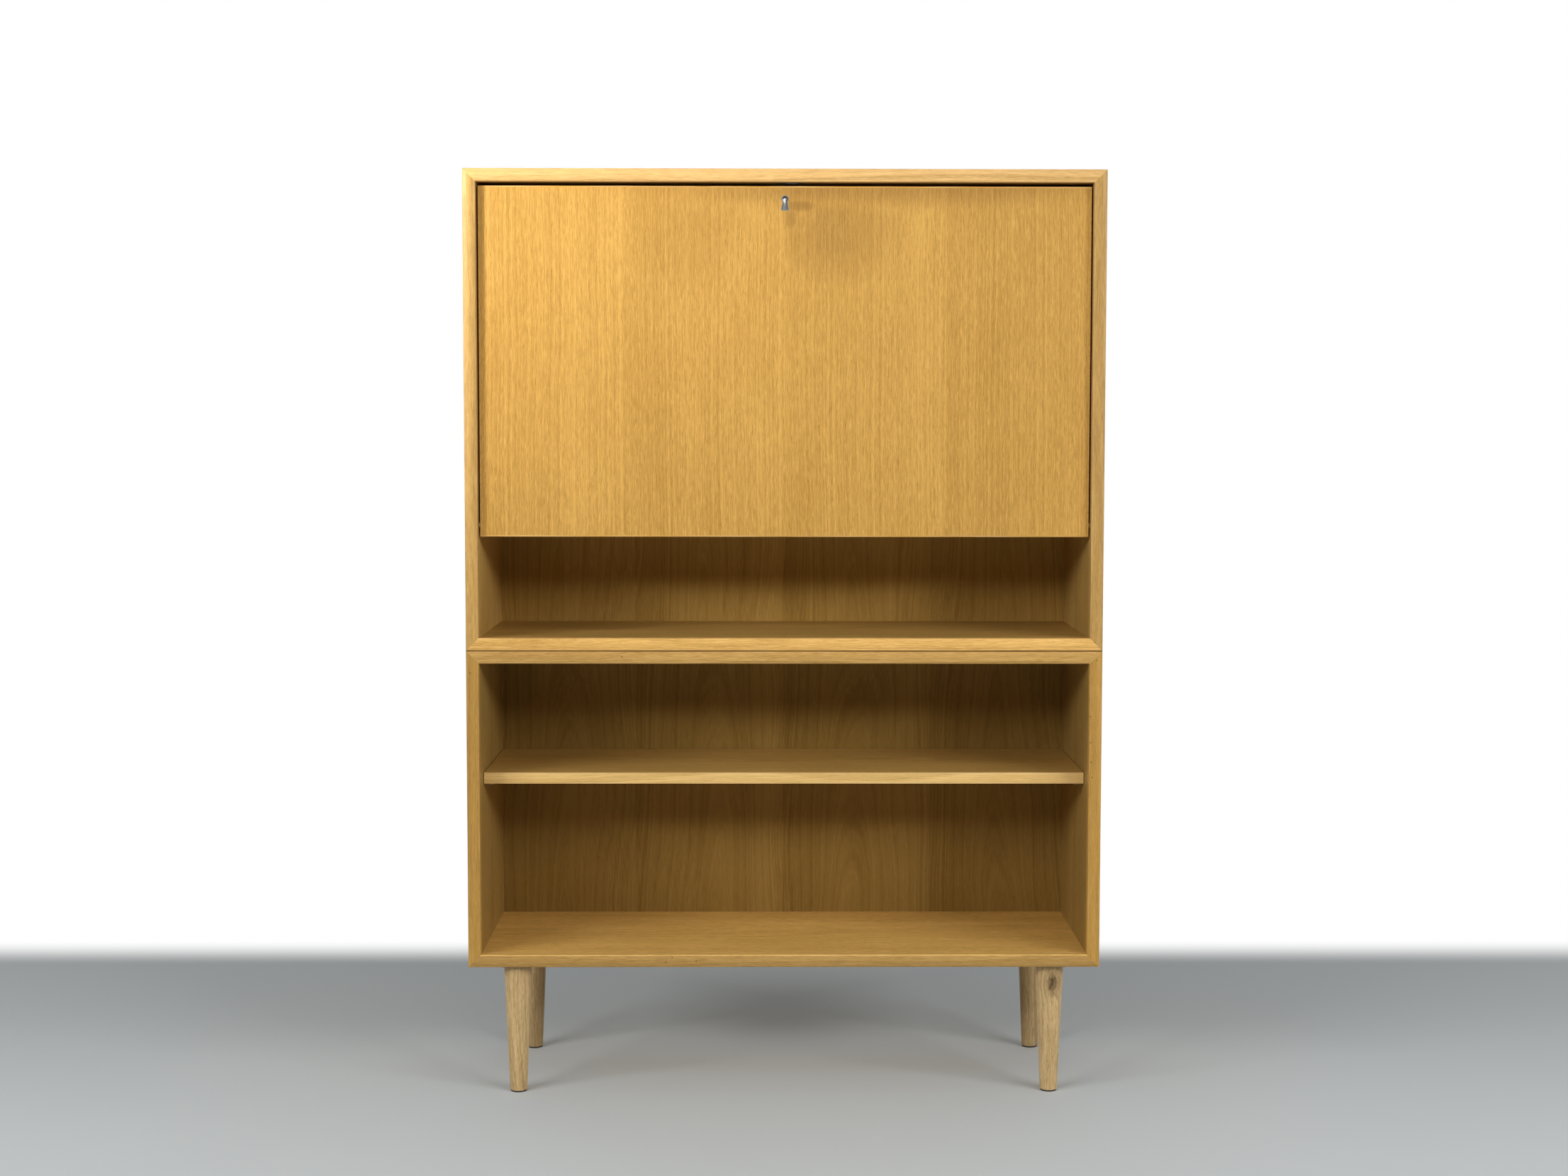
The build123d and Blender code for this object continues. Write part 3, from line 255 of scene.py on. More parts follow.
class Nodes:
    """Adds nodes to one tree."""

    def __init__(self, tree):
        self.tree = tree

    def node(self, kind, settings=None, inputs=None, output=0):
        """A node of any kind: its settings, then the values or links of its sockets."""
        made = self.tree.nodes.new(kind)
        for name, value in (settings or {}).items():
            setattr(made, name, value)
        self.feed(made, inputs or {})
        return Socket(self, made.outputs[output])

    def feed(self, node, inputs):
        """Link or set a node's sockets."""
        for name, value in inputs.items():
            if isinstance(value, Socket):
                self.tree.links.new(value.output, node.inputs[name])
            else:
                node.inputs[name].default_value = value

    def math(self, operation, first, second=0.0):
        """Arithmetic on one or two numbers."""
        return self.node("ShaderNodeMath", {"operation": operation}, {0: first, 1: second})

    def vector(self, operation, first, second):
        """Arithmetic on two places, part by part."""
        return self.node("ShaderNodeVectorMath", {"operation": operation}, {0: first, 1: second})

    def length(self, place):
        """How far a place is from the origin."""
        return self.node("ShaderNodeVectorMath", {"operation": "LENGTH"}, {0: place}, "Value")

    def split(self, place):
        """The three parts of a place."""
        made = self.node("ShaderNodeSeparateXYZ", None, {"Vector": place})
        return [Socket(self, output) for output in made.output.node.outputs]

    def mix(self, share, first, second):
        """The colour a share of the way from the first to the second."""
        ends = [end if isinstance(end, Socket) else (*end, 1.0) for end in (first, second)]
        inputs = {MIX_SHARE: share, MIX_FIRST: ends[0], MIX_SECOND: ends[1]}
        return self.node("ShaderNodeMix", {"data_type": "RGBA"}, inputs, MIX_RESULT)

    def step(self, value, low, high):
        """0 up to low and 1 from high, softly; the other way round where low is above high."""
        return self.node(
            "ShaderNodeMapRange",
            {"interpolation_type": "SMOOTHSTEP"},
            {"Value": value, "From Min": low, "From Max": high},
        )

    def noise(self, place, size, detail=2.0, roughness=0.5):
        """Noise about 0 whose features have the given size along each axis."""
        stretched = self.vector("MULTIPLY", place, [1 / length for length in size])
        inputs = {"Vector": stretched, "Scale": 1.0, "Detail": detail, "Roughness": roughness}
        return self.node("ShaderNodeTexNoise", None, inputs) - NOISE_MIDDLE

    def noise_along(self, value, detail=3.0, roughness=0.55):
        """Noise about 0 along a single value."""
        inputs = {"W": value, "Scale": 1.0, "Detail": detail, "Roughness": roughness}
        return self.node("ShaderNodeTexNoise", {"noise_dimensions": "1D"}, inputs) - NOISE_MIDDLE

    def chance(self, number):
        """A value about 0 that is the same wherever the number is."""
        value = self.node("ShaderNodeTexWhiteNoise", {"noise_dimensions": "1D"}, {"W": number})
        return value - NOISE_MIDDLE


class Finish(Nodes):
    """A material with one Principled shader."""

    def __init__(self, name, **shader):
        self.material = bpy.data.materials.new(name)
        self.material.use_nodes = True
        super().__init__(self.material.node_tree)
        self.shader = self.tree.nodes["Principled BSDF"]
        self.set(**shader)
        self.place = self.node("ShaderNodeTexCoord", output="Object")

    def set(self, **inputs):
        """Feed the shader's own sockets, written with underscores for spaces."""
        self.feed(self.shader, {name.replace("_", " "): value for name, value in inputs.items()})

    def bump(self, height, distance, strength):
        """Raise the surface by height times a distance in metres."""
        inputs = {"Height": height, "Distance": distance, "Strength": strength}
        self.set(Normal=self.node("ShaderNodeBump", None, inputs))


def shaded(colour, share):
    """A colour made lighter or darker."""
    return [share * part for part in colour]


def dress(name, material):
    """Give every slot of a node the same finish."""
    for slot in frame["nodes"][name].material_slots:
        slot.material = material


# Marks at one place
class Spot(NamedTuple):
    """A soft round spot: the distance where it starts, the one where it is full, and its strength."""

    start: float
    full: float
    strength: float


class Mark(NamedTuple):
    """A stain, knot, painted glint or painted shade: its middle, its reach along X, Y and Z, and how strong
    it is.
    """

    middle: tuple
    reach: tuple
    strength: float = 1.0


MARK_START = 1.0
MARK_FULL = 0.15


def moved(mark, place):
    """A mark whose middle was given from a place."""
    return mark._replace(middle=tuple(place + Vector(mark.middle)))


def from_mark(finish, mark):
    """Where a point lies from a mark's middle, in the mark's own reach, and how far off that is."""
    offset = finish.vector("DIVIDE", finish.vector("SUBTRACT", finish.place, mark.middle), mark.reach)
    return offset, finish.length(offset)


def spot_at(finish, distance, spot):
    """A soft spot round the place where a distance is 0."""
    return finish.step(distance, spot.start, spot.full) * spot.strength


def marks_on(finish, marks):
    """Soft spots at given places, 0 to 1."""
    total = None
    for mark in marks:
        distance = from_mark(finish, mark)[1]
        spot = spot_at(finish, distance, Spot(MARK_START, MARK_FULL, mark.strength))
        total = spot if total is None else finish.math("MAXIMUM", total, spot)
    return total


# Oak
class Cut(NamedTuple):
    """How a board was sawn: where the tree's heart lies, its lean and wander, how strong its rings are."""

    across: float
    behind: float
    lean: float
    wander: float
    figure: float


RIFT = Cut(across=0.32, behind=0.10, lean=0.004, wander=0.018, figure=0.95)
CROWN = Cut(across=-0.112, behind=0.034, lean=0.075, wander=0.084, figure=1.1)
PLAIN = Cut(across=-0.010, behind=0.045, lean=0.050, wander=0.108, figure=0.8)
STRIP = Cut(across=0.030, behind=0.055, lean=0.012, wander=0.036, figure=1.3)
TURNED = Cut(across=0.022, behind=0.016, lean=0.030, wander=0.048, figure=1.4)


class Tone(NamedTuple):
    """One of the desk's kinds of oak, and how light this piece is drawn; on some pieces that holds painted
    light or shade.
    """

    kind: str
    shade: float = 1.0


class Outside(NamedTuple):
    """A face with another tone: across or deep in the board, the way it looks and where it starts."""

    side: int
    way: int
    start: float
    tone: Tone


ACROSS, DEEP = 0, 1


class Board(NamedTuple):
    """A piece of oak: its cut, the axes of its grain and broad face, its own number and its finish."""

    name: str
    tone: Tone
    cut: Cut
    grain: str
    face: str
    seed: int
    leaf: float = 0.0
    gloss: float = 0.22
    coarse: float = 1.0
    wear: float = 0.0
    outside: Outside = None
    stains_and_painted_shade: tuple = ()
    pins: tuple = ()
    knot: Mark = None


class Feature(NamedTuple):
    """Marks of one kind all over the grain: their width and length, their noise and their weight."""

    width: float
    length: float
    weight: float = 1.0
    detail: float = 2.0
    roughness: float = 0.5


RIPPLE = Feature(width=0.004, length=0.012, weight=0.0016, detail=1.0)
SLIP = Feature(width=0.0023, length=0.30, weight=0.128)
DRIFT = Feature(width=0.16, length=0.45, detail=1.0)
STREAKS = Feature(width=0.0010, length=0.016, weight=2.3, detail=3.0, roughness=0.6)
THREADS = Feature(width=0.0026, length=0.064, weight=0.4)
MOTTLE = Feature(width=0.07, length=0.16, weight=0.45)
BANDS = Feature(width=0.035, length=1.2, weight=0.55)
PORES = Feature(width=0.0006, length=0.008, weight=0.30, detail=1.0)

# Tone, from early wood at 0 to late wood at 1
MIDDLE_TONE = 0.5
LEAF_MIDDLE = 0.5
LEAF_CHANCE = 0.06
LEAF_SLOPE = 0.24

# Where noise about 0 turns into early wood, open pores and the streaks of a rubbed edge
EARLY_WOOD = (0.08, -0.10)
OPEN_PORES = (0.04, 0.20)
RUBBED_STREAKS = (-0.12, 0.12)
LATE_WOOD_PORES = 0.35
STAIN_SHARE = 0.9

# Lengths in metres
SEED_STEP = 1.618
FACE_BLEND = 0.001
RUBBED_EDGE = (0.0026, 0.0006)
RUBBED_RAGGED = 0.002
RELIEF = 0.0002

# Rings from board to board, roughness of the oiled surface and its relief
RING_STEP = 7.0
OILED_ROUGHNESS = 0.40
PORE_ROUGHNESS = 0.2
MOTTLE_ROUGHNESS = 0.15
STREAK_RELIEF = 0.35
RELIEF_STRENGTH = 0.3

# The knot in a leg; distances are in its own reach
KNOT_PUSH = Spot(start=2.8, full=0.2, strength=0.8)
KNOT_BULGE = Spot(start=2.6, full=0.2, strength=2.6)
KNOT_EYE = Spot(start=1.20, full=0.45, strength=0.70)
KNOT_TAIL = Spot(start=1.30, full=0.50, strength=0.62)
KNOT_HALO = Spot(start=2.3, full=0.9, strength=0.22)
KNOT_TAIL_SHAPE = (2.6, 1.0, 0.62)
KNOT_RAGS = (0.0035, 0.0035, 0.007)
KNOT_RAGGED = 0.9
KNOT_STROKES = (0.0030, 0.0030, 0.0080)
STROKE_EDGES = (-0.10, 0.12)
STROKE_SHARE = 0.386


def oak_colour(wood, share, tone):
    """Early wood that turns to late wood."""
    looks = bpy.context.scene.desk_oak
    early, late = [getattr(looks, f"{tone.kind}_{end}") for end in ("dark", "light")]
    return wood.mix(share, shaded(early, tone.shade), shaded(late, tone.shade))


def board_axes(board):
    """The ways across a board, out of its broad face and along its grain."""
    along, outward = AXES[board.grain], AXES[board.face]
    return outward.cross(along), outward, along


def grain_place(wood, board):
    """Coordinates from a board's middle, with the grain turned to Z and the broad face's normal to Y."""
    turn = Matrix(board_axes(board))
    low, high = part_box(board.name)
    shift = -(turn @ ((low + high) / 2))
    inputs = {"Vector": wood.place, "Location": shift, "Rotation": turn.to_euler()}
    return wood.node("ShaderNodeMapping", {"vector_type": "POINT"}, inputs)


def edge_distance(wood, board, parts):
    """How far a point on a board's surface is from the nearest edge of its box."""
    low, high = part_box(board.name)
    half = (high - low) / 2
    ways = zip(board_axes(board), parts)
    inset = [abs(half.dot(way)) - wood.math("ABSOLUTE", part) for way, part in ways]
    nearer, farther = [wood.math(choice, inset[0], inset[1]) for choice in ("MINIMUM", "MAXIMUM")]
    return wood.math("MAXIMUM", nearer, wood.math("MINIMUM", farther, inset[2]))


def fibres(wood, place, feature):
    """Noise about 0 with a feature's size, drawn out along the grain."""
    length = feature.length * bpy.context.scene.desk_oak.stretch
    size = (feature.width, feature.width, length)
    return wood.noise(place, size, feature.detail, feature.roughness)


def knot_shade(wood, offset, distance):
    """How dark a knot is: a ragged eye with strokes in it, a tail along the grain and a faint halo."""
    ragged = wood.noise(wood.place, KNOT_RAGS, detail=3.0) * KNOT_RAGGED
    strokes = wood.step(wood.noise(wood.place, KNOT_STROKES), *STROKE_EDGES)
    eye = spot_at(wood, distance + ragged, KNOT_EYE) * (1 + strokes * STROKE_SHARE)
    slim = wood.length(wood.vector("MULTIPLY", offset, KNOT_TAIL_SHAPE))
    tail = spot_at(wood, slim + ragged, KNOT_TAIL)
    halo = spot_at(wood, distance + ragged, KNOT_HALO)
    return wood.math("MAXIMUM", wood.math("MAXIMUM", eye, tail), halo)


def oak(board):
    """Oiled oak: growth round a far heart, short pores along the grain and broad bands of tone."""
    looks = bpy.context.scene.desk_oak
    wood = Finish(f"{board.name}_oak", Specular_IOR_Level=board.gloss)
    place = grain_place(wood, board)
    parts = wood.split(place)
    across, deep, along = parts
    tone = MIDDLE_TONE
    if board.leaf:
        number = wood.math("FLOOR", across / board.leaf)
        inside = across / board.leaf - number
        tone = tone + wood.chance(number + board.seed) * LEAF_CHANCE + (inside - LEAF_MIDDLE) * LEAF_SLOPE
        across = inside * board.leaf

    place = wood.vector("ADD", place, (0, 0, SEED_STEP * (board.seed + 1)))
    sway = fibres(wood, place, RIPPLE) * RIPPLE.weight
    slip = fibres(wood, place, SLIP) * SLIP.weight
    if board.knot:
        knot_offset, knot_distance = from_mark(wood, board.knot)
        push = spot_at(wood, knot_distance, KNOT_PUSH) * board.knot.reach[0]
        sway = sway - wood.split(knot_offset)[0] * push
    place = wood.vector("ADD", place, wood.node("ShaderNodeCombineXYZ", None, {"X": sway, "Z": slip}))

    drift = fibres(wood, place, DRIFT) * board.cut.wander
    heart_across = across + drift + board.cut.across
    heart_behind = deep + along * board.cut.lean + drift / 2 + board.cut.behind
    radius = wood.math("SQRT", heart_across * heart_across + heart_behind * heart_behind)
    if board.knot:
        radius = radius + spot_at(wood, knot_distance, KNOT_BULGE) * looks.ring
    growth = wood.noise_along(radius / looks.ring + RING_STEP * board.seed)

    streaks, threads = [fibres(wood, place, feature) for feature in (STREAKS, THREADS)]
    mottle, bands, pores = [fibres(wood, place, feature) for feature in (MOTTLE, BANDS, PORES)]
    early = wood.step(growth, *EARLY_WOOD)
    spread = LATE_WOOD_PORES + (1 - LATE_WOOD_PORES) * early
    open_pores = wood.step(pores, *OPEN_PORES) * spread * board.coarse

    tone = tone + growth * board.cut.figure + mottle * MOTTLE.weight + bands * BANDS.weight
    tone = tone + (streaks * STREAKS.weight + threads * THREADS.weight) * board.coarse
    colour = oak_colour(wood, tone, board.tone)
    if board.outside:
        side, way, start, other = board.outside
        turned = wood.step((across, deep)[side] * way, start, start + FACE_BLEND)
        colour = wood.mix(turned, colour, oak_colour(wood, tone, other))
    colour = wood.mix(open_pores * PORES.weight, colour, looks.pore)
    if board.wear:
        edge = edge_distance(wood, board, parts) + mottle * RUBBED_RAGGED
        rubbed = wood.step(edge, *RUBBED_EDGE) * wood.step(threads, *RUBBED_STREAKS)
        colour = wood.mix(rubbed * board.wear, colour, looks.rubbed)
    # Stains; along the seam and the flap's top edge they are also painted shade.
    if board.stains_and_painted_shade:
        colour = wood.mix(marks_on(wood, board.stains_and_painted_shade) * (STAIN_SHARE + mottle), colour, looks.pore)
    if board.pins:
        colour = wood.mix(marks_on(wood, board.pins), colour, looks.knot)
    if board.knot:
        colour = wood.mix(knot_shade(wood, knot_offset, knot_distance), colour, looks.knot)
    roughness = OILED_ROUGHNESS + open_pores * PORE_ROUGHNESS + mottle * MOTTLE_ROUGHNESS
    wood.set(Base_Color=colour, Roughness=roughness)
    wood.bump(streaks * STREAK_RELIEF - open_pores, RELIEF, RELIEF_STRENGTH)
    return wood.material


def dress_oak(board):
    """Give a board its own oak."""
    dress(board.name, oak(board))


# Metal, plastic and beech
SMUDGE_SIZE = (0.011, 0.011, 0.011)
SMUDGE_EDGES = (-0.05, 0.18)
SMUDGE_SHARE = 0.6
SMUDGE_ROUGHNESS = 0.16
SPECK_SIZE = (0.0016, 0.0016, 0.0016)
SPECK_EDGES = (0.10, 0.22)
SPECK_SHARE = 0.4
SPECK_HEIGHT = 0.00006
SPECK_STRENGTH = 0.2
POLISH = 0.8

SCUFF_EDGES = (0.02, 0.22)
SCUFF_SHADE = 3.0
SCUFF_SHARE = 0.5
SCUFF_HEIGHT = 0.0001
SCUFF_STRENGTH = 0.25
SCUFF_ROUGHNESS = 0.25
PLASTIC_ROUGHNESS = 0.42

FLECK_SIZE = (0.0012, 0.006, 0.0012)
FLECK_EDGES = (0.08, 0.20)
FLECK_SHARE = 0.6
CLOUD_SIZE = (0.02, 0.09, 0.02)
CLOUD_SHARE = 0.8
BEECH_SHADE = 0.68


def metal(name, colour, roughness, tarnish, polished=()):
    """Plated or rubbed metal with smudges, a little tarnish, and places made smoother and painted white as a
    highlight.
    """
    plate = Finish(name, Metallic=1.0)
    speck = plate.noise(plate.place, SPECK_SIZE)
    dull = plate.step(plate.noise(plate.place, SMUDGE_SIZE, detail=3.0), *SMUDGE_EDGES)
    stained = dull * SMUDGE_SHARE + plate.step(speck, *SPECK_EDGES) * SPECK_SHARE
    finish = plate.mix(stained, colour, shaded(colour, tarnish))
    rough = roughness + dull * SMUDGE_ROUGHNESS
    # Painted highlight: the marked places are painted white and made smoother.
    if polished:
        painted_glint_share = marks_on(plate, polished)
        finish = plate.mix(painted_glint_share, finish, WHITE)
        rough = rough * (1 - painted_glint_share * POLISH)
    plate.set(Base_Color=finish, Roughness=rough)
    plate.bump(speck, SPECK_HEIGHT, SPECK_STRENGTH)
    return plate.material


def moulded_plastic(name, colour):
    """Scuffed dark plastic."""
    plastic = Finish(name, Specular_IOR_Level=0.4)
    scuff = plastic.noise(plastic.place, SPECK_SIZE, detail=3.0)
    worn = plastic.step(scuff, *SCUFF_EDGES)
    finish = plastic.mix(worn * SCUFF_SHARE, colour, shaded(colour, SCUFF_SHADE))
    plastic.set(Base_Color=finish, Roughness=PLASTIC_ROUGHNESS + worn * SCUFF_ROUGHNESS)
    plastic.bump(scuff, SCUFF_HEIGHT, SCUFF_STRENGTH)
    return plastic.material


def beech_wood(name, colour):
    """Pale beech with short dark flecks."""
    beech = Finish(name, Roughness=0.55)
    fleck = beech.step(beech.noise(beech.place, FLECK_SIZE, detail=1.0), *FLECK_EDGES)
    cloud = beech.noise(beech.place, CLOUD_SIZE)
    share = fleck * FLECK_SHARE + cloud * CLOUD_SHARE
    beech.set(Base_Color=beech.mix(share, colour, shaded(colour, BEECH_SHADE)))
    return beech.material


# Screws
MERGE = 1e-6
SCREW_SIDES = 24
SCREW_TURN = 2.4
SCREW_POINT = 0.2
SCREW_END = 0.02
SLOT_SLOPE = 1.3


def loose_solids(name):
    """The points of each separate solid in a node."""
    shape = bmesh.new()
    shape.from_mesh(frame["nodes"][name].data)
    bmesh.ops.remove_doubles(shape, verts=shape.verts, dist=MERGE)
    shape.verts.index_update()
    seen = set()
    solids = []
    for start in shape.verts:
        if start.index in seen:
            continue
        seen.add(start.index)
        group = [start]
        for vert in group:
            for edge in vert.link_edges:
                other = edge.other_vert(vert)
                if other.index not in seen:
                    seen.add(other.index)
                    group.append(other)
        solids.append([vert.co.copy() for vert in group])
    shape.free()
    return solids


def screw_seat(points):
    """Where a screw's head is, the way it looks, its head's radius and its length."""
    low = Vector(map(min, zip(*points)))
    high = Vector(map(max, zip(*points)))
    size = high - low
    axis = max(range(3), key=lambda part: size[part])
    middle = (low + high) / 2
    outward = Vector(float(part == axis) for part in range(3))

    def spread(end):
        corner, _ = end
        near = [point for point in points if abs(point[axis] - corner[axis]) < SCREW_END * size[axis]]
        return max((point - middle).cross(outward).length for point in near)

    corner, looks_to = max([(low, -outward), (high, outward)], key=spread)
    head = middle.copy()
    head[axis] = corner[axis]
    radius = min(size[part] for part in range(3) if part != axis) / 2
    return head, looks_to, radius, size[axis]


def slotted_screw(radius, length, looks):
    """A countersunk screw at the origin, head up, with a slot across it."""
    screw = bmesh.new()
    bmesh.ops.create_circle(screw, cap_ends=True, radius=radius, segments=SCREW_SIDES)
    half = looks.slot_width * radius
    depth = 2 * looks.slot_depth * radius
    for side in (-half, half):
        head = [*screw.verts, *screw.edges, *screw.faces]
        bmesh.ops.bisect_plane(screw, geom=head, plane_co=(side, 0, 0), plane_no=AXES["X"], dist=MERGE)
    strip = [face for face in screw.faces if abs(face.calc_center_median().x) < half / 2]
    sunk = bmesh.ops.extrude_face_region(screw, geom=strip)["geom"]
    bmesh.ops.delete(screw, geom=strip, context="FACES_ONLY")
    floor = [item for item in sunk if isinstance(item, bmesh.types.BMVert)]
    bmesh.ops.scale(screw, vec=(1, 1 - SLOT_SLOPE * depth / radius, 1), verts=floor)
    bmesh.ops.translate(screw, vec=(0, 0, -depth), verts=floor)

    rim = [edge for edge in screw.edges if edge.is_boundary]
    neck = radius - looks.shank * radius
    shoulder = (1 - SCREW_POINT) * length
    for share, below in ((looks.shank, neck), (1.0, shoulder), (0.0, length)):
        grown = bmesh.ops.extrude_edge_only(screw, edges=rim)["geom"]
        rim = [item for item in grown if isinstance(item, bmesh.types.BMEdge) and item.is_boundary]
        ring = [item for item in grown if isinstance(item, bmesh.types.BMVert)]
        level = sum(vert.co.z for vert in ring) / len(ring)
        bmesh.ops.scale(screw, vec=(share, share, 1), verts=ring)
        bmesh.ops.translate(screw, vec=(0, 0, -below - level), verts=ring)
    bmesh.ops.remove_doubles(screw, verts=screw.verts, dist=MERGE)
    return screw


def slotted_screws(name, material):
    """Slotted screws in place of a node's plain ones."""
    looks = bpy.context.scene.desk_metal
    mesh = bpy.data.meshes.new(f"{name}_slotted")
    shape = bmesh.new()
    for number, points in enumerate(loose_solids(name)):
        head, outward, radius, length = screw_seat(points)
        screw = slotted_screw(radius, length, looks)
        turn = outward.to_track_quat("Z", "Y").to_matrix().to_4x4()
        spun = turn @ Matrix.Rotation(number * SCREW_TURN, 4, "Z")
        bmesh.ops.transform(screw, matrix=Matrix.Translation(head) @ spun, verts=screw.verts)
        screw.to_mesh(mesh)
        screw.free()
        shape.from_mesh(mesh)
    bmesh.ops.recalc_face_normals(shape, faces=shape.faces)
    shape.to_mesh(mesh)
    shape.free()
    piece = bpy.data.objects.new(f"{name}_slotted", mesh)
    bpy.context.scene.collection.objects.link(piece)
    mesh.materials.append(material)
    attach(piece, frame["nodes"][name]["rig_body"])
    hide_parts(name)


# Boxes and back panels
BOXES = ("lower", "upper")
BOX_SEED = 10

# Grain, broad face and the way the outer side looks
BOX_BOARDS = {
    "left_side": ("Z", "X", -1),
    "right_side": ("Z", "X", 1),
    "top_panel": ("X", "Z", 1),
    "bottom_panel": ("X", "Z", -1),
}
# Tones of the boards' inner faces, partly the oak's and partly painted light and shade: the lower bottom
# board is painted lighter where light falls on it, the lower sides darker as shade.
BOX_TONES_AND_PAINTED_LIGHT = {
    "lower_left_side": 0.69,
    "lower_right_side": 0.61,
    "lower_top_panel": 1.0,
    "lower_bottom_panel": 1.62,
    "upper_left_side": 1.08,
    "upper_right_side": 0.80,
    "upper_top_panel": 1.2,
    "upper_bottom_panel": 1.02,
}

BACK_SEED = 30
# The back panels' inner faces: the lower one is painted darker as shade.
BACK_TONES_AND_PAINTED_SHADE = {"lower": 0.74, "upper": 1.14}
BACK_OUTSIDE = Outside(DEEP, way=1, start=0.0, tone=Tone("raw", 0.9))


class DESK_OT_boxes(bpy.types.Operator):
    """Veneer the sides, tops and bottoms of both boxes, their inner faces painted lighter or darker for the
    light on them
    """

    bl_idname = "desk.boxes"
    bl_label = "Boxes"

    def execute(self, context):
        for seed, (box, board) in enumerate(product(BOXES, BOX_BOARDS), BOX_SEED):
            name = f"{box}_{board}"
            grain, face, way = BOX_BOARDS[board]
            dress_oak(Board(
                name, Tone("inside", BOX_TONES_AND_PAINTED_LIGHT[name]), PLAIN, grain, face, seed,
                leaf=context.scene.desk_oak.side_leaf if grain == "Z" else 0.0,
                gloss=0.10,
                coarse=1.3,
                wear=0.3,
                outside=Outside(DEEP, way, start=0.0, tone=Tone("veneer")),
            ))
        return {"FINISHED"}


class DESK_OT_backs(bpy.types.Operator):
    """Crown cut veneer on the back panels, the lower one painted darker as shade"""

    bl_idname = "desk.backs"
    bl_label = "Back panels"

    def execute(self, context):
        for seed, (box, shade) in enumerate(BACK_TONES_AND_PAINTED_SHADE.items(), BACK_SEED):
            dress_oak(Board(
                f"{box}_back_panel", Tone("back", shade), CROWN, "Z", "Y", seed,
                leaf=context.scene.desk_oak.leaf,
                gloss=0.03,
                coarse=0.55,
                outside=BACK_OUTSIDE,
            ))
        return {"FINISHED"}


# Front strips
LIP_SEED = 40
LIP_GRAIN = {"top": "X", "bottom": "X", "left": "Z", "right": "Z"}
# Tones of the strips, partly the oak's and partly painted light and shade: the lower strips are painted
# darker where less light reaches them, the upper bottom strip lighter as it faces up.
LIP_TONES_AND_PAINTED_LIGHT = {
    "lower_lip_top": Tone("solid", 0.90),
    "lower_lip_bottom": Tone("solid", 0.74),
    "lower_lip_left": Tone("veneer", 0.82),
    "lower_lip_right": Tone("veneer", 0.89),
    "upper_lip_top": Tone("bleached"),
    "upper_lip_bottom": Tone("solid", 1.27),
    "upper_lip_left": Tone("solid", 0.88),
    "upper_lip_right": Tone("solid", 0.80),
}
# The bottom strip's inner face takes the lower bottom board's tone, painted light included.
LIP_OUTSIDES = {
    "lower_lip_bottom": Outside(
        ACROSS, way=-1, start=0.0072, tone=Tone("inside", BOX_TONES_AND_PAINTED_LIGHT["lower_bottom_panel"])
    ),
}
# Dirt and painted shade in the groove of the seam between the boxes.
SEAM_REACH = (10.0, 0.05, 0.0017)
PIN_REACH = (0.0015, 0.01, 0.0020)
PIN_STRENGTH = 0.7

# Places along X and Z
PIN_KNOTS = {
    "lower_lip_top": [(-0.2301, 0.6334)],
    "lower_lip_bottom": [(-0.1596, 0.2020), (-0.1687, 0.1958), (-0.1254, 0.1973)],
    "lower_lip_left": [(-0.4444, 0.6097)],
    "lower_lip_right": [
        (0.4339, 0.5481), (0.4351, 0.4826), (0.4345, 0.5108), (0.4365, 0.4611), (0.4414, 0.6281),
    ],
}


class DESK_OT_lippings(bpy.types.Operator):
    """Solid oak on the rounded front strips, painted lighter or darker for the light on them, with pin knots,
    and dirt and painted shade in the seam between the boxes
    """

    bl_idname = "desk.lippings"
    bl_label = "Front strips"

    def execute(self, context):
        front = CAD_BOX[0].y
        # Dirt and painted shade along the seam between the boxes.
        seam = Mark((0, front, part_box("lower_lip_top")[1].z), SEAM_REACH)
        for seed, (box, edge) in enumerate(product(BOXES, LIP_GRAIN), LIP_SEED):
            name = f"{box}_lip_{edge}"
            knots = PIN_KNOTS.get(name, ())
            dress_oak(Board(
                name, LIP_TONES_AND_PAINTED_LIGHT[name], STRIP, LIP_GRAIN[edge], "Y", seed,
                coarse=0.9,
                wear=0.35,
                outside=LIP_OUTSIDES.get(name),
                stains_and_painted_shade=(seam,),
                pins=tuple(Mark((x, front, z), PIN_REACH, PIN_STRENGTH) for x, z in knots),
            ))
        return {"FINISHED"}


# Flap
STAIN_DEPTH = 0.006
KEYHOLE_STAINS = (
    Mark((0.020, 0, -0.004), (0.040, STAIN_DEPTH, 0.014), 0.56),
    Mark((0.008, 0, -0.022), (0.012, STAIN_DEPTH, 0.026), 0.48),
    Mark((0.075, 0, -0.040), (0.11, STAIN_DEPTH, 0.09), 0.32),
    Mark((-0.130, 0, -0.040), (0.10, STAIN_DEPTH, 0.10), 0.13),
)
# A dark band along the flap's top edge: handling stain and painted shadow under the top strip.
EDGE_STAIN_AND_PAINTED_SHADOW = Mark((0.120, 0, 0), (0.45, STAIN_DEPTH, 0.036), 0.44)


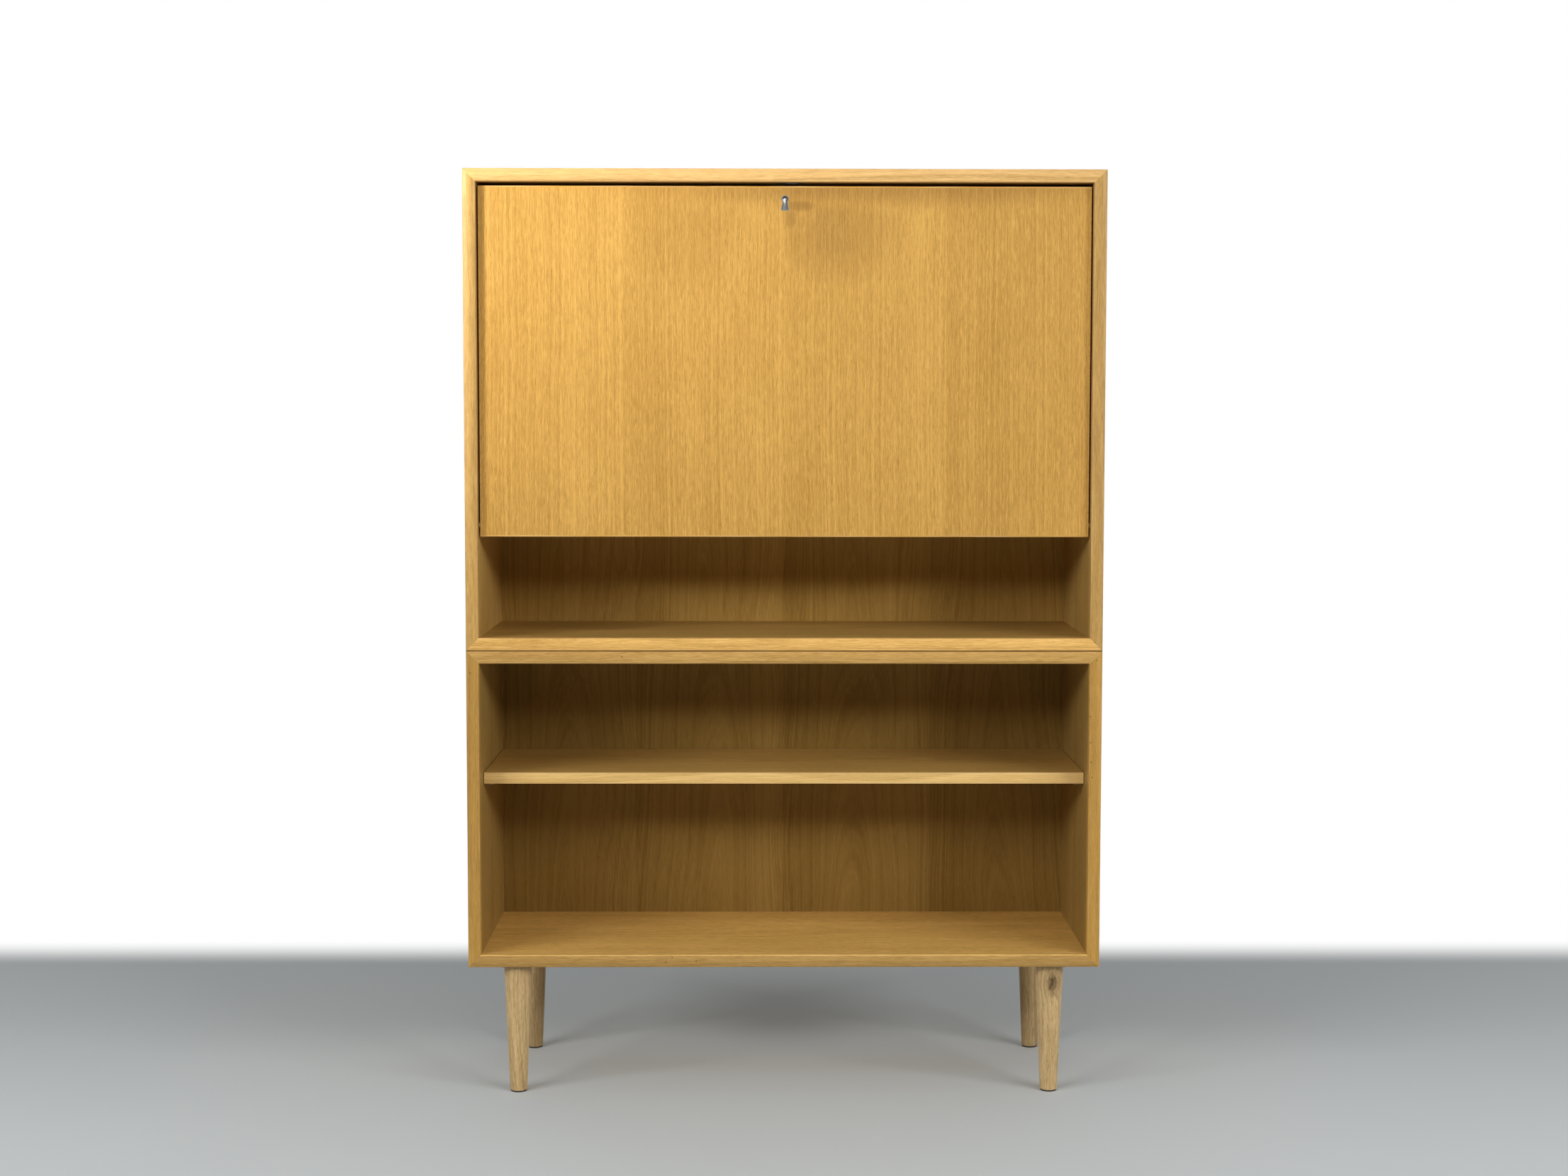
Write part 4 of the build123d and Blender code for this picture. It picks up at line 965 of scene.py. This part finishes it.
class DESK_OT_flap(bpy.types.Operator):
    """Slip matched veneer on the drop flap, darker where hands touch it, painted shadow along its top edge,
    and strips on its edges
    """

    bl_idname = "desk.flap"
    bl_label = "Drop flap"

    def execute(self, context):
        low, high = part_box("keyhole_liner")
        keyhole = Vector(((low.x + high.x) / 2, low.y, (low.z + high.z) / 2))
        upper_edge = Vector((keyhole.x, keyhole.y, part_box("flap_panel")[1].z))
        hands = tuple(moved(stain, keyhole) for stain in KEYHOLE_STAINS)
        dress_oak(Board(
            "flap_panel", Tone("veneer"), RIFT, "Z", "Y", seed=50,
            leaf=context.scene.desk_oak.leaf,
            coarse=1.6,
            stains_and_painted_shade=(*hands, moved(EDGE_STAIN_AND_PAINTED_SHADOW, upper_edge)),
        ))
        dress_oak(Board(
            "flap_edge_strips", Tone("veneer", 1.05), RIFT, "X", "Y", seed=51, coarse=0.5, wear=0.3
        ))
        return {"FINISHED"}


# Inside of the desk, loose shelf and legs
INSIDE_BOARDS = (
    Board("writing_floor", Tone("inside"), PLAIN, "X", "Z", seed=60),
    Board("letter_shelf", Tone("inside"), PLAIN, "X", "Z", seed=61, wear=0.3),
    Board("letter_dividers", Tone("inside"), PLAIN, "Z", "X", seed=62, wear=0.3),
    Board("writing_floor_strip", Tone("solid"), STRIP, "X", "Y", seed=63, wear=0.4),
    Board("flap_stops", Tone("solid"), STRIP, "Z", "Y", seed=64),
)
SHELF_BOARDS = (
    # The shelf's top is painted lighter where light falls on it.
    Board("shelf_board", Tone("inside", 1.14), PLAIN, "X", "Z", seed=70),
    Board("shelf_front_strip", Tone("pale", 1.08), STRIP, "X", "Y", seed=71, coarse=0.6, wear=0.3),
)
LEG_SEED = 80
# The rear legs are painted darker as shade; the front ones carry the oak's tone.
LEG_TONE_AND_PAINTED_SHADE = {"front": 1.08, "rear": 0.74}
SIDES = ("left", "right")
KNOTTED_LEG = "leg_front_right"
LEG_KNOT = Mark((0.002, 0, -0.025), (0.0085, 0.016, 0.0145))


class DESK_OT_desk_inside(bpy.types.Operator):
    """Oak on the writing floor, the letter shelf, its dividers and the flap's stops"""

    bl_idname = "desk.desk_inside"
    bl_label = "Inside of the desk"

    def execute(self, context):
        for board in INSIDE_BOARDS:
            dress_oak(board)
        return {"FINISHED"}


class DESK_OT_shelf(bpy.types.Operator):
    """Oak on the loose shelf and its front strip, steel on its pegs"""

    bl_idname = "desk.shelf"
    bl_label = "Loose shelf"

    def execute(self, context):
        for board in SHELF_BOARDS:
            dress_oak(board)
        steel = metal("peg_steel", context.scene.desk_metal.steel, roughness=0.34, tarnish=0.7)
        dress("shelf_pegs", steel)
        return {"FINISHED"}


class DESK_OT_legs(bpy.types.Operator):
    """Paler oak on the turned legs, the rear ones painted darker as shade, steel on their plates and studs,
    plastic on their glides
    """

    bl_idname = "desk.legs"
    bl_label = "Legs"

    def execute(self, context):
        looks = context.scene.desk_metal
        for seed, (row, side) in enumerate(product(LEG_TONE_AND_PAINTED_SHADE, SIDES), LEG_SEED):
            name = f"leg_{row}_{side}"
            low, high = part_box(name)
            front_of_top = Vector(((low.x + high.x) / 2, low.y, high.z))
            dress_oak(Board(
                name, Tone("raw", LEG_TONE_AND_PAINTED_SHADE[row]), TURNED, "Z", "Y", seed,
                coarse=1.2,
                knot=moved(LEG_KNOT, front_of_top) if name == KNOTTED_LEG else None,
            ))
        for name in ("leg_plates", "leg_studs"):
            dress(name, metal(f"{name}_steel", looks.black, roughness=0.48, tarnish=0.6))
        dress("leg_glides", moulded_plastic("glide_plastic", looks.plastic))
        return {"FINISHED"}


# Fittings
LINER_SHADE = 0.5
# Painted highlight: a white spot on the lock's steel behind the keyhole.
LOCK_PAINTED_GLINT = Mark((-0.0012, 0, -0.0062), (0.0034, 0.05, 0.0060))
SCREW_GROUPS = ("back_panel", "carcass_fitting", "flap_fitting", "joining", "leg_plate")


class DESK_OT_lock(bpy.types.Operator):
    """Nickel on the keyhole's liner, steel on the lock, its bolt and its strike, with a painted highlight
    behind the keyhole
    """

    bl_idname = "desk.lock"
    bl_label = "Lock"

    def execute(self, context):
        looks = context.scene.desk_metal
        liner = metal("liner_nickel", shaded(looks.nickel, LINER_SHADE), roughness=0.16, tarnish=0.5)
        dress("keyhole_liner", liner)
        low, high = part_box("keyhole_liner")
        painted_glint = moved(LOCK_PAINTED_GLINT, Vector(((low.x + high.x) / 2, high.y, high.z)))
        for name in ("lock_case", "lock_bolt", "strike_plate"):
            steel = metal(f"{name}_steel", looks.steel, roughness=0.32, tarnish=0.65, polished=(painted_glint,))
            dress(name, steel)
        return {"FINISHED"}


class DESK_OT_hinges_and_stays(bpy.types.Operator):
    """Brass on the pivot hinges and nickel on the sliding stays"""

    bl_idname = "desk.hinges_and_stays"
    bl_label = "Hinges and stays"

    def execute(self, context):
        looks = context.scene.desk_metal
        brass = metal("hinge_brass", looks.brass, roughness=0.30, tarnish=0.55)
        nickel = metal("stay_nickel", looks.nickel, roughness=0.20, tarnish=0.7)
        for side in SIDES:
            for piece in ("hinge_plate", "hinge_leaf"):
                dress(f"{piece}_{side}", brass)
            for piece in ("stay_base", "stay_guide", "stay_rod", "stay_bracket"):
                dress(f"{piece}_{side}", nickel)
        return {"FINISHED"}


class DESK_OT_tongues(bpy.types.Operator):
    """Beech on the loose tongues in the corners"""

    bl_idname = "desk.tongues"
    bl_label = "Corner tongues"

    def execute(self, context):
        beech = beech_wood("tongue_beech", context.scene.desk_metal.beech)
        for box in BOXES:
            dress(f"{box}_corner_tongues", beech)
        return {"FINISHED"}


class DESK_OT_screws(bpy.types.Operator):
    """Slotted screws in place of the plain ones"""

    bl_idname = "desk.screws"
    bl_label = "Screws"

    def execute(self, context):
        steel = metal("slotted_screw_steel", context.scene.desk_metal.screw, roughness=0.30, tarnish=0.6)
        for group in SCREW_GROUPS:
            slotted_screws(f"{group}_screws", steel)
        return {"FINISHED"}


# Studio
class Lamp(NamedTuple):
    """A soft lamp's size, the point it looks at and the angle of its beam in degrees."""

    width: float
    height: float
    aim: Vector
    spread: float = 180.0


LAMPS = {
    "left": Lamp(width=2.6, height=0.35, aim=Vector((0.0, -0.15, 0.8))),
    "right": Lamp(width=2.6, height=0.35, aim=Vector((0.0, -0.15, 0.8))),
    "spot": Lamp(width=0.6, height=0.3, aim=Vector((-1.0, -0.15, 1.55)), spread=24.0),
    "ceiling": Lamp(width=2.4, height=0.9, aim=Vector((0.0, -0.15, 0.6))),
}
PHOTO_WIDTH = 2212
FOCAL_PIXELS = 3261.3
SENSOR = 36.0
FLOOR_RADIUS = 14.0
FLOOR_SIDES = 96
FLOOR_CLOUDS = (0.5, 0.5, 0.5)
FLOOR_CLOUD_SHADE = 0.94
FROM_ABOVE = (0.1, 0.8)
FROM_BEHIND = (0.0, 0.6)


def seen_rays(nodes):
    """1 for rays that show the backdrop itself: camera, glossy and transmitted ones."""
    path = nodes.node("ShaderNodeLightPath").output.node.outputs
    kinds = ("Camera", "Glossy", "Transmission")
    camera, glossy, passed = [Socket(nodes, path[f"Is {kind} Ray"]) for kind in kinds]
    return nodes.math("MINIMUM", camera + glossy + passed, 1.0)


def studio_floor(looks):
    """A pale floor, painted darker behind the desk as shade, that turns white with distance and keeps the
    desk's shadow.
    """
    shape = bmesh.new()
    bmesh.ops.create_circle(shape, cap_ends=True, radius=FLOOR_RADIUS, segments=FLOOR_SIDES)
    mesh = bpy.data.meshes.new("studio_floor")
    shape.to_mesh(mesh)
    shape.free()
    floor = bpy.data.objects.new("studio_floor", mesh)
    bpy.context.scene.collection.objects.link(floor)

    paint = Finish("floor_paint", Roughness=0.6, Specular_IOR_Level=0.0)
    depth = paint.split(paint.place)[1]
    cloud = paint.noise(paint.place, FLOOR_CLOUDS, detail=3.0) + NOISE_MIDDLE
    near = paint.mix(cloud, shaded(looks.floor, FLOOR_CLOUD_SHADE), looks.floor)
    # Painted shade: the floor darkens behind the desk.
    rearward = paint.step(depth, -looks.shade_start, looks.shade_end)
    paint.set(Base_Color=paint.mix(rearward, near, shaded(looks.floor, looks.rear_floor_shade)))

    distance = paint.step(paint.length(paint.place), looks.fade_start, looks.fade_end)
    far = paint.math("MAXIMUM", paint.step(depth, looks.rear_start, looks.rear_end), distance)
    white = paint.node("ShaderNodeEmission", None, {"Color": (*WHITE, 1.0), "Strength": 1.0})
    shown = Socket(paint, paint.shader.outputs[0])
    mixed = paint.node("ShaderNodeMixShader", None, {0: far * seen_rays(paint), 1: shown, 2: white})
    paint.feed(paint.tree.nodes["Material Output"], {"Surface": mixed})
    mesh.materials.append(paint.material)


def studio_lamp(name, place, power):
    """A soft lamp that looks at its aim."""
    lamp = LAMPS[name]
    data = bpy.data.lights.new(f"{name}_lamp", "AREA")
    data.shape = "RECTANGLE"
    data.size = lamp.width
    data.size_y = lamp.height
    data.energy = power
    data.spread = math.radians(lamp.spread)
    made = bpy.data.objects.new(f"{name}_lamp", data)
    made.location = place
    made.rotation_euler = (Vector(place) - lamp.aim).to_track_quat("Z", "Y").to_euler()
    bpy.context.scene.collection.objects.link(made)


def studio_air(looks):
    """Soft light from all round, stronger from above and behind, white to the camera."""
    world = bpy.data.worlds.new("studio_air")
    world.use_nodes = True
    air = Nodes(world.node_tree)
    _, rearward, upward = air.split(air.node("ShaderNodeTexCoord", output="Generated"))
    above = air.step(upward, *FROM_ABOVE) * looks.upper_air
    behind = air.step(rearward, *FROM_BEHIND) * looks.rear_air
    strength = above + behind + looks.level_air
    room = air.node("ShaderNodeBackground", None, {"Color": (*WHITE, 1.0), "Strength": strength})
    white = air.node("ShaderNodeBackground", None, {"Color": (*WHITE, 1.0), "Strength": 1.0})
    mixed = air.node("ShaderNodeMixShader", None, {0: seen_rays(air), 1: room, 2: white})
    air.feed(world.node_tree.nodes["World Output"], {"Surface": mixed})
    bpy.context.scene.world = world


def studio_camera(looks):
    """The photograph's viewpoint."""
    yaw, pitch, roll = looks.camera_yaw, looks.camera_pitch, looks.camera_roll
    level = Vector((math.sin(yaw), math.cos(yaw), 0))
    right = Vector((math.cos(yaw), -math.sin(yaw), 0))
    forward = level * math.cos(pitch) - AXES["Z"] * math.sin(pitch)
    upward = right.cross(forward)
    leaned = right * math.cos(roll) + upward * math.sin(roll)
    data = bpy.data.cameras.new("camera")
    data.sensor_fit = "HORIZONTAL"
    data.sensor_width = SENSOR
    data.lens = SENSOR * FOCAL_PIXELS / PHOTO_WIDTH
    camera = bpy.data.objects.new("camera", data)
    turn = Matrix((leaned, leaned.cross(forward), -forward)).transposed()
    camera.matrix_world = Matrix.Translation(looks.camera_place) @ turn.to_4x4()
    bpy.context.scene.collection.objects.link(camera)
    bpy.context.scene.camera = camera


class DESK_OT_stage(bpy.types.Operator):
    """Set up the floor, the lamps, the room light and the camera"""

    bl_idname = "desk.stage"
    bl_label = "Studio"

    def execute(self, context):
        looks = context.scene.desk_stage
        context.scene.view_settings.view_transform = "Standard"
        studio_floor(looks)
        for name in LAMPS:
            studio_lamp(name, getattr(looks, f"{name}_place"), getattr(looks, f"{name}_power"))
        studio_air(looks)
        studio_camera(looks)
        return {"FINISHED"}


# Add-on
OPERATORS = (
    DESK_OT_stage,
    DESK_OT_boxes,
    DESK_OT_backs,
    DESK_OT_lippings,
    DESK_OT_flap,
    DESK_OT_desk_inside,
    DESK_OT_shelf,
    DESK_OT_legs,
    DESK_OT_lock,
    DESK_OT_hinges_and_stays,
    DESK_OT_tongues,
    DESK_OT_screws,
)
SETTINGS = {"desk_oak": DeskOak, "desk_metal": DeskMetal, "desk_stage": DeskStage}


class DESK_PT_panel(bpy.types.Panel):
    """The desk's steps and settings."""

    bl_label = "Oak secretary desk"
    bl_space_type = "VIEW_3D"
    bl_region_type = "UI"
    bl_category = "Desk"

    def draw(self, context):
        for operator in OPERATORS:
            self.layout.operator(operator.bl_idname)
        for setting in SETTINGS:
            group = getattr(context.scene, setting)
            box = self.layout.box()
            for name in group.bl_rna.properties.keys():
                if name not in ("rna_type", "name"):
                    box.prop(group, name)


def register():
    for kind in (*SETTINGS.values(), *OPERATORS, DESK_PT_panel):
        bpy.utils.register_class(kind)
    for setting, kind in SETTINGS.items():
        setattr(bpy.types.Scene, setting, PointerProperty(type=kind))


def unregister():
    for setting in SETTINGS:
        delattr(bpy.types.Scene, setting)
    for kind in reversed((*SETTINGS.values(), *OPERATORS, DESK_PT_panel)):
        bpy.utils.unregister_class(kind)


def main():
    """Run every step."""
    register()
    for operator in OPERATORS:
        group, step = operator.bl_idname.split(".")
        getattr(getattr(bpy.ops, group), step)()


if __name__ == "__main__":
    main()
